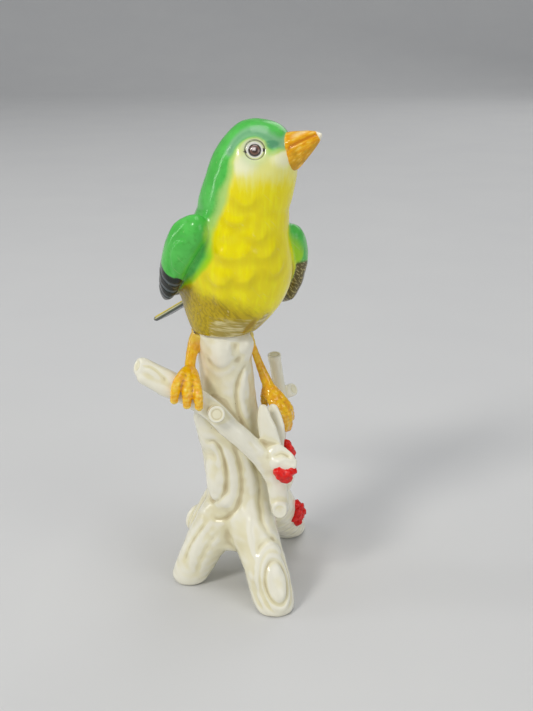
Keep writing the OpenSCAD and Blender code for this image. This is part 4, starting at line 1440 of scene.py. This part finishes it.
# Soft lights: name, place and target in metres, width and height in metres, power in watts, tint.
LIGHTS = (
    ("key", (-1.00, -1.15, 1.35), (0.0, 0.0, 0.09), 0.42, 0.42, 14.5, (1.0, 0.98, 0.94)),
    ("fill", (1.50, -1.40, 0.80), (0.0, 0.0, 0.08), 1.20, 1.20, 8.5, (0.98, 0.99, 1.0)),
    ("strip", (-1.55, 0.05, 0.55), (0.0, 0.0, 0.10), 0.14, 1.50, 4.5, (1.0, 1.0, 1.0)),
    ("top", (0.10, 0.00, 1.90), (0.0, 0.0, 0.08), 1.10, 1.10, 9.0, (1.0, 1.0, 1.0)),
    ("back", (0.80, 1.60, 1.10), (0.0, 0.0, 0.10), 1.20, 1.20, 5.0, (1.0, 1.0, 1.0)),
)


class FIGURINE_OT_studio(bpy.types.Operator):
    """Set up the floor, the soft lights and the camera"""
    bl_idname = "figurine.studio"
    bl_label = "Studio"

    def execute(self, context):
        scene = context.scene
        settings = scene.figurine_studio
        width, near, bend, far = 6.0, -3.0, 2.0, 1.0
        profile = [(near, 0.0), (bend, 0.0)]
        for index in range(1, 13):
            turn = math.radians(90.0 * index / 12)
            profile.append((bend + far * math.sin(turn), far * (1 - math.cos(turn))))
        profile.append((bend + far, 5.0))
        points, faces = [], []
        for index, (y, z) in enumerate(profile):
            points += [(-width, y, z), (width, y, z)]
            if index:
                faces.append((2 * index - 2, 2 * index - 1, 2 * index + 1, 2 * index))
        mesh = bpy.data.meshes.new("backdrop")
        mesh.from_pydata(points, [], faces)
        mesh.shade_smooth()
        mesh.materials.append(studio_paper())
        backdrop = bpy.data.objects.new("backdrop", mesh)
        scene.collection.objects.link(backdrop)

        for name, place, target, wide, high, power, tint in LIGHTS:
            lamp = bpy.data.lights.new(name, "AREA")
            lamp.shape = "RECTANGLE"
            lamp.size, lamp.size_y = wide, high
            lamp.energy = power * settings.brightness
            lamp.color = tint
            holder = bpy.data.objects.new(name, lamp)
            holder.location = place
            holder.rotation_euler = (Vector(target) - Vector(place)).to_track_quat("-Z", "Y").to_euler()
            scene.collection.objects.link(holder)

        world = bpy.data.worlds.new("studio")
        world.use_nodes = True
        sky = next(node for node in world.node_tree.nodes if node.type == "BACKGROUND")
        sky.inputs["Color"].default_value = (0.92, 0.95, 1.0, 1.0)
        sky.inputs["Strength"].default_value = 0.30 * settings.brightness
        scene.world = world
        scene.view_settings.view_transform = "Standard"

        camera = bpy.data.cameras.new("camera")
        camera.sensor_fit = "VERTICAL"
        camera.angle = settings.view_angle
        camera.clip_start, camera.clip_end = 0.01, 20.0
        holder = bpy.data.objects.new("camera", camera)
        holder.location = (settings.camera_side, -settings.camera_back, settings.camera_height)
        holder.rotation_euler = (math.radians(90.0) - settings.camera_pitch, 0.0, 0.0)
        scene.collection.objects.link(holder)
        scene.camera = holder
        return {"FINISHED"}


# ---------------------------------------------------------------- panel and start

OPERATORS = (FIGURINE_OT_studio, FIGURINE_OT_stump, FIGURINE_OT_bird, FIGURINE_OT_eyes,
             FIGURINE_OT_beak, FIGURINE_OT_tail, FIGURINE_OT_legs, FIGURINE_OT_berries)
SETTINGS = {"figurine_stump": StumpSettings, "figurine_bird": BirdSettings,
            "figurine_berries": BerrySettings, "figurine_studio": StudioSettings}


class FIGURINE_PT_panel(bpy.types.Panel):
    """The settings and steps that finish the figurine"""
    bl_idname = "FIGURINE_PT_panel"
    bl_label = "Figurine"
    bl_space_type = "VIEW_3D"
    bl_region_type = "UI"
    bl_category = "Figurine"

    def draw(self, context):
        for name, kind in SETTINGS.items():
            box = self.layout.box()
            box.label(text=kind.bl_rna.description or kind.__name__)
            for field in kind.__annotations__:
                box.prop(getattr(context.scene, name), field)
        for operator in OPERATORS:
            self.layout.operator(operator.bl_idname)


def register():
    for name, kind in SETTINGS.items():
        bpy.utils.register_class(kind)
        setattr(bpy.types.Scene, name, bpy.props.PointerProperty(type=kind))
    for kind in (*OPERATORS, FIGURINE_PT_panel):
        bpy.utils.register_class(kind)


def unregister():
    for kind in reversed((*OPERATORS, FIGURINE_PT_panel)):
        bpy.utils.unregister_class(kind)
    for name, kind in SETTINGS.items():
        delattr(bpy.types.Scene, name)
        bpy.utils.unregister_class(kind)


def main():
    """Makes the whole figurine and its studio."""
    register()
    for operator in OPERATORS:
        group, name = operator.bl_idname.split(".")
        if getattr(getattr(bpy.ops, group), name)() != {"FINISHED"}:
            raise RuntimeError(f"{operator.bl_label} stopped early")


if __name__ == "__main__":
    main()
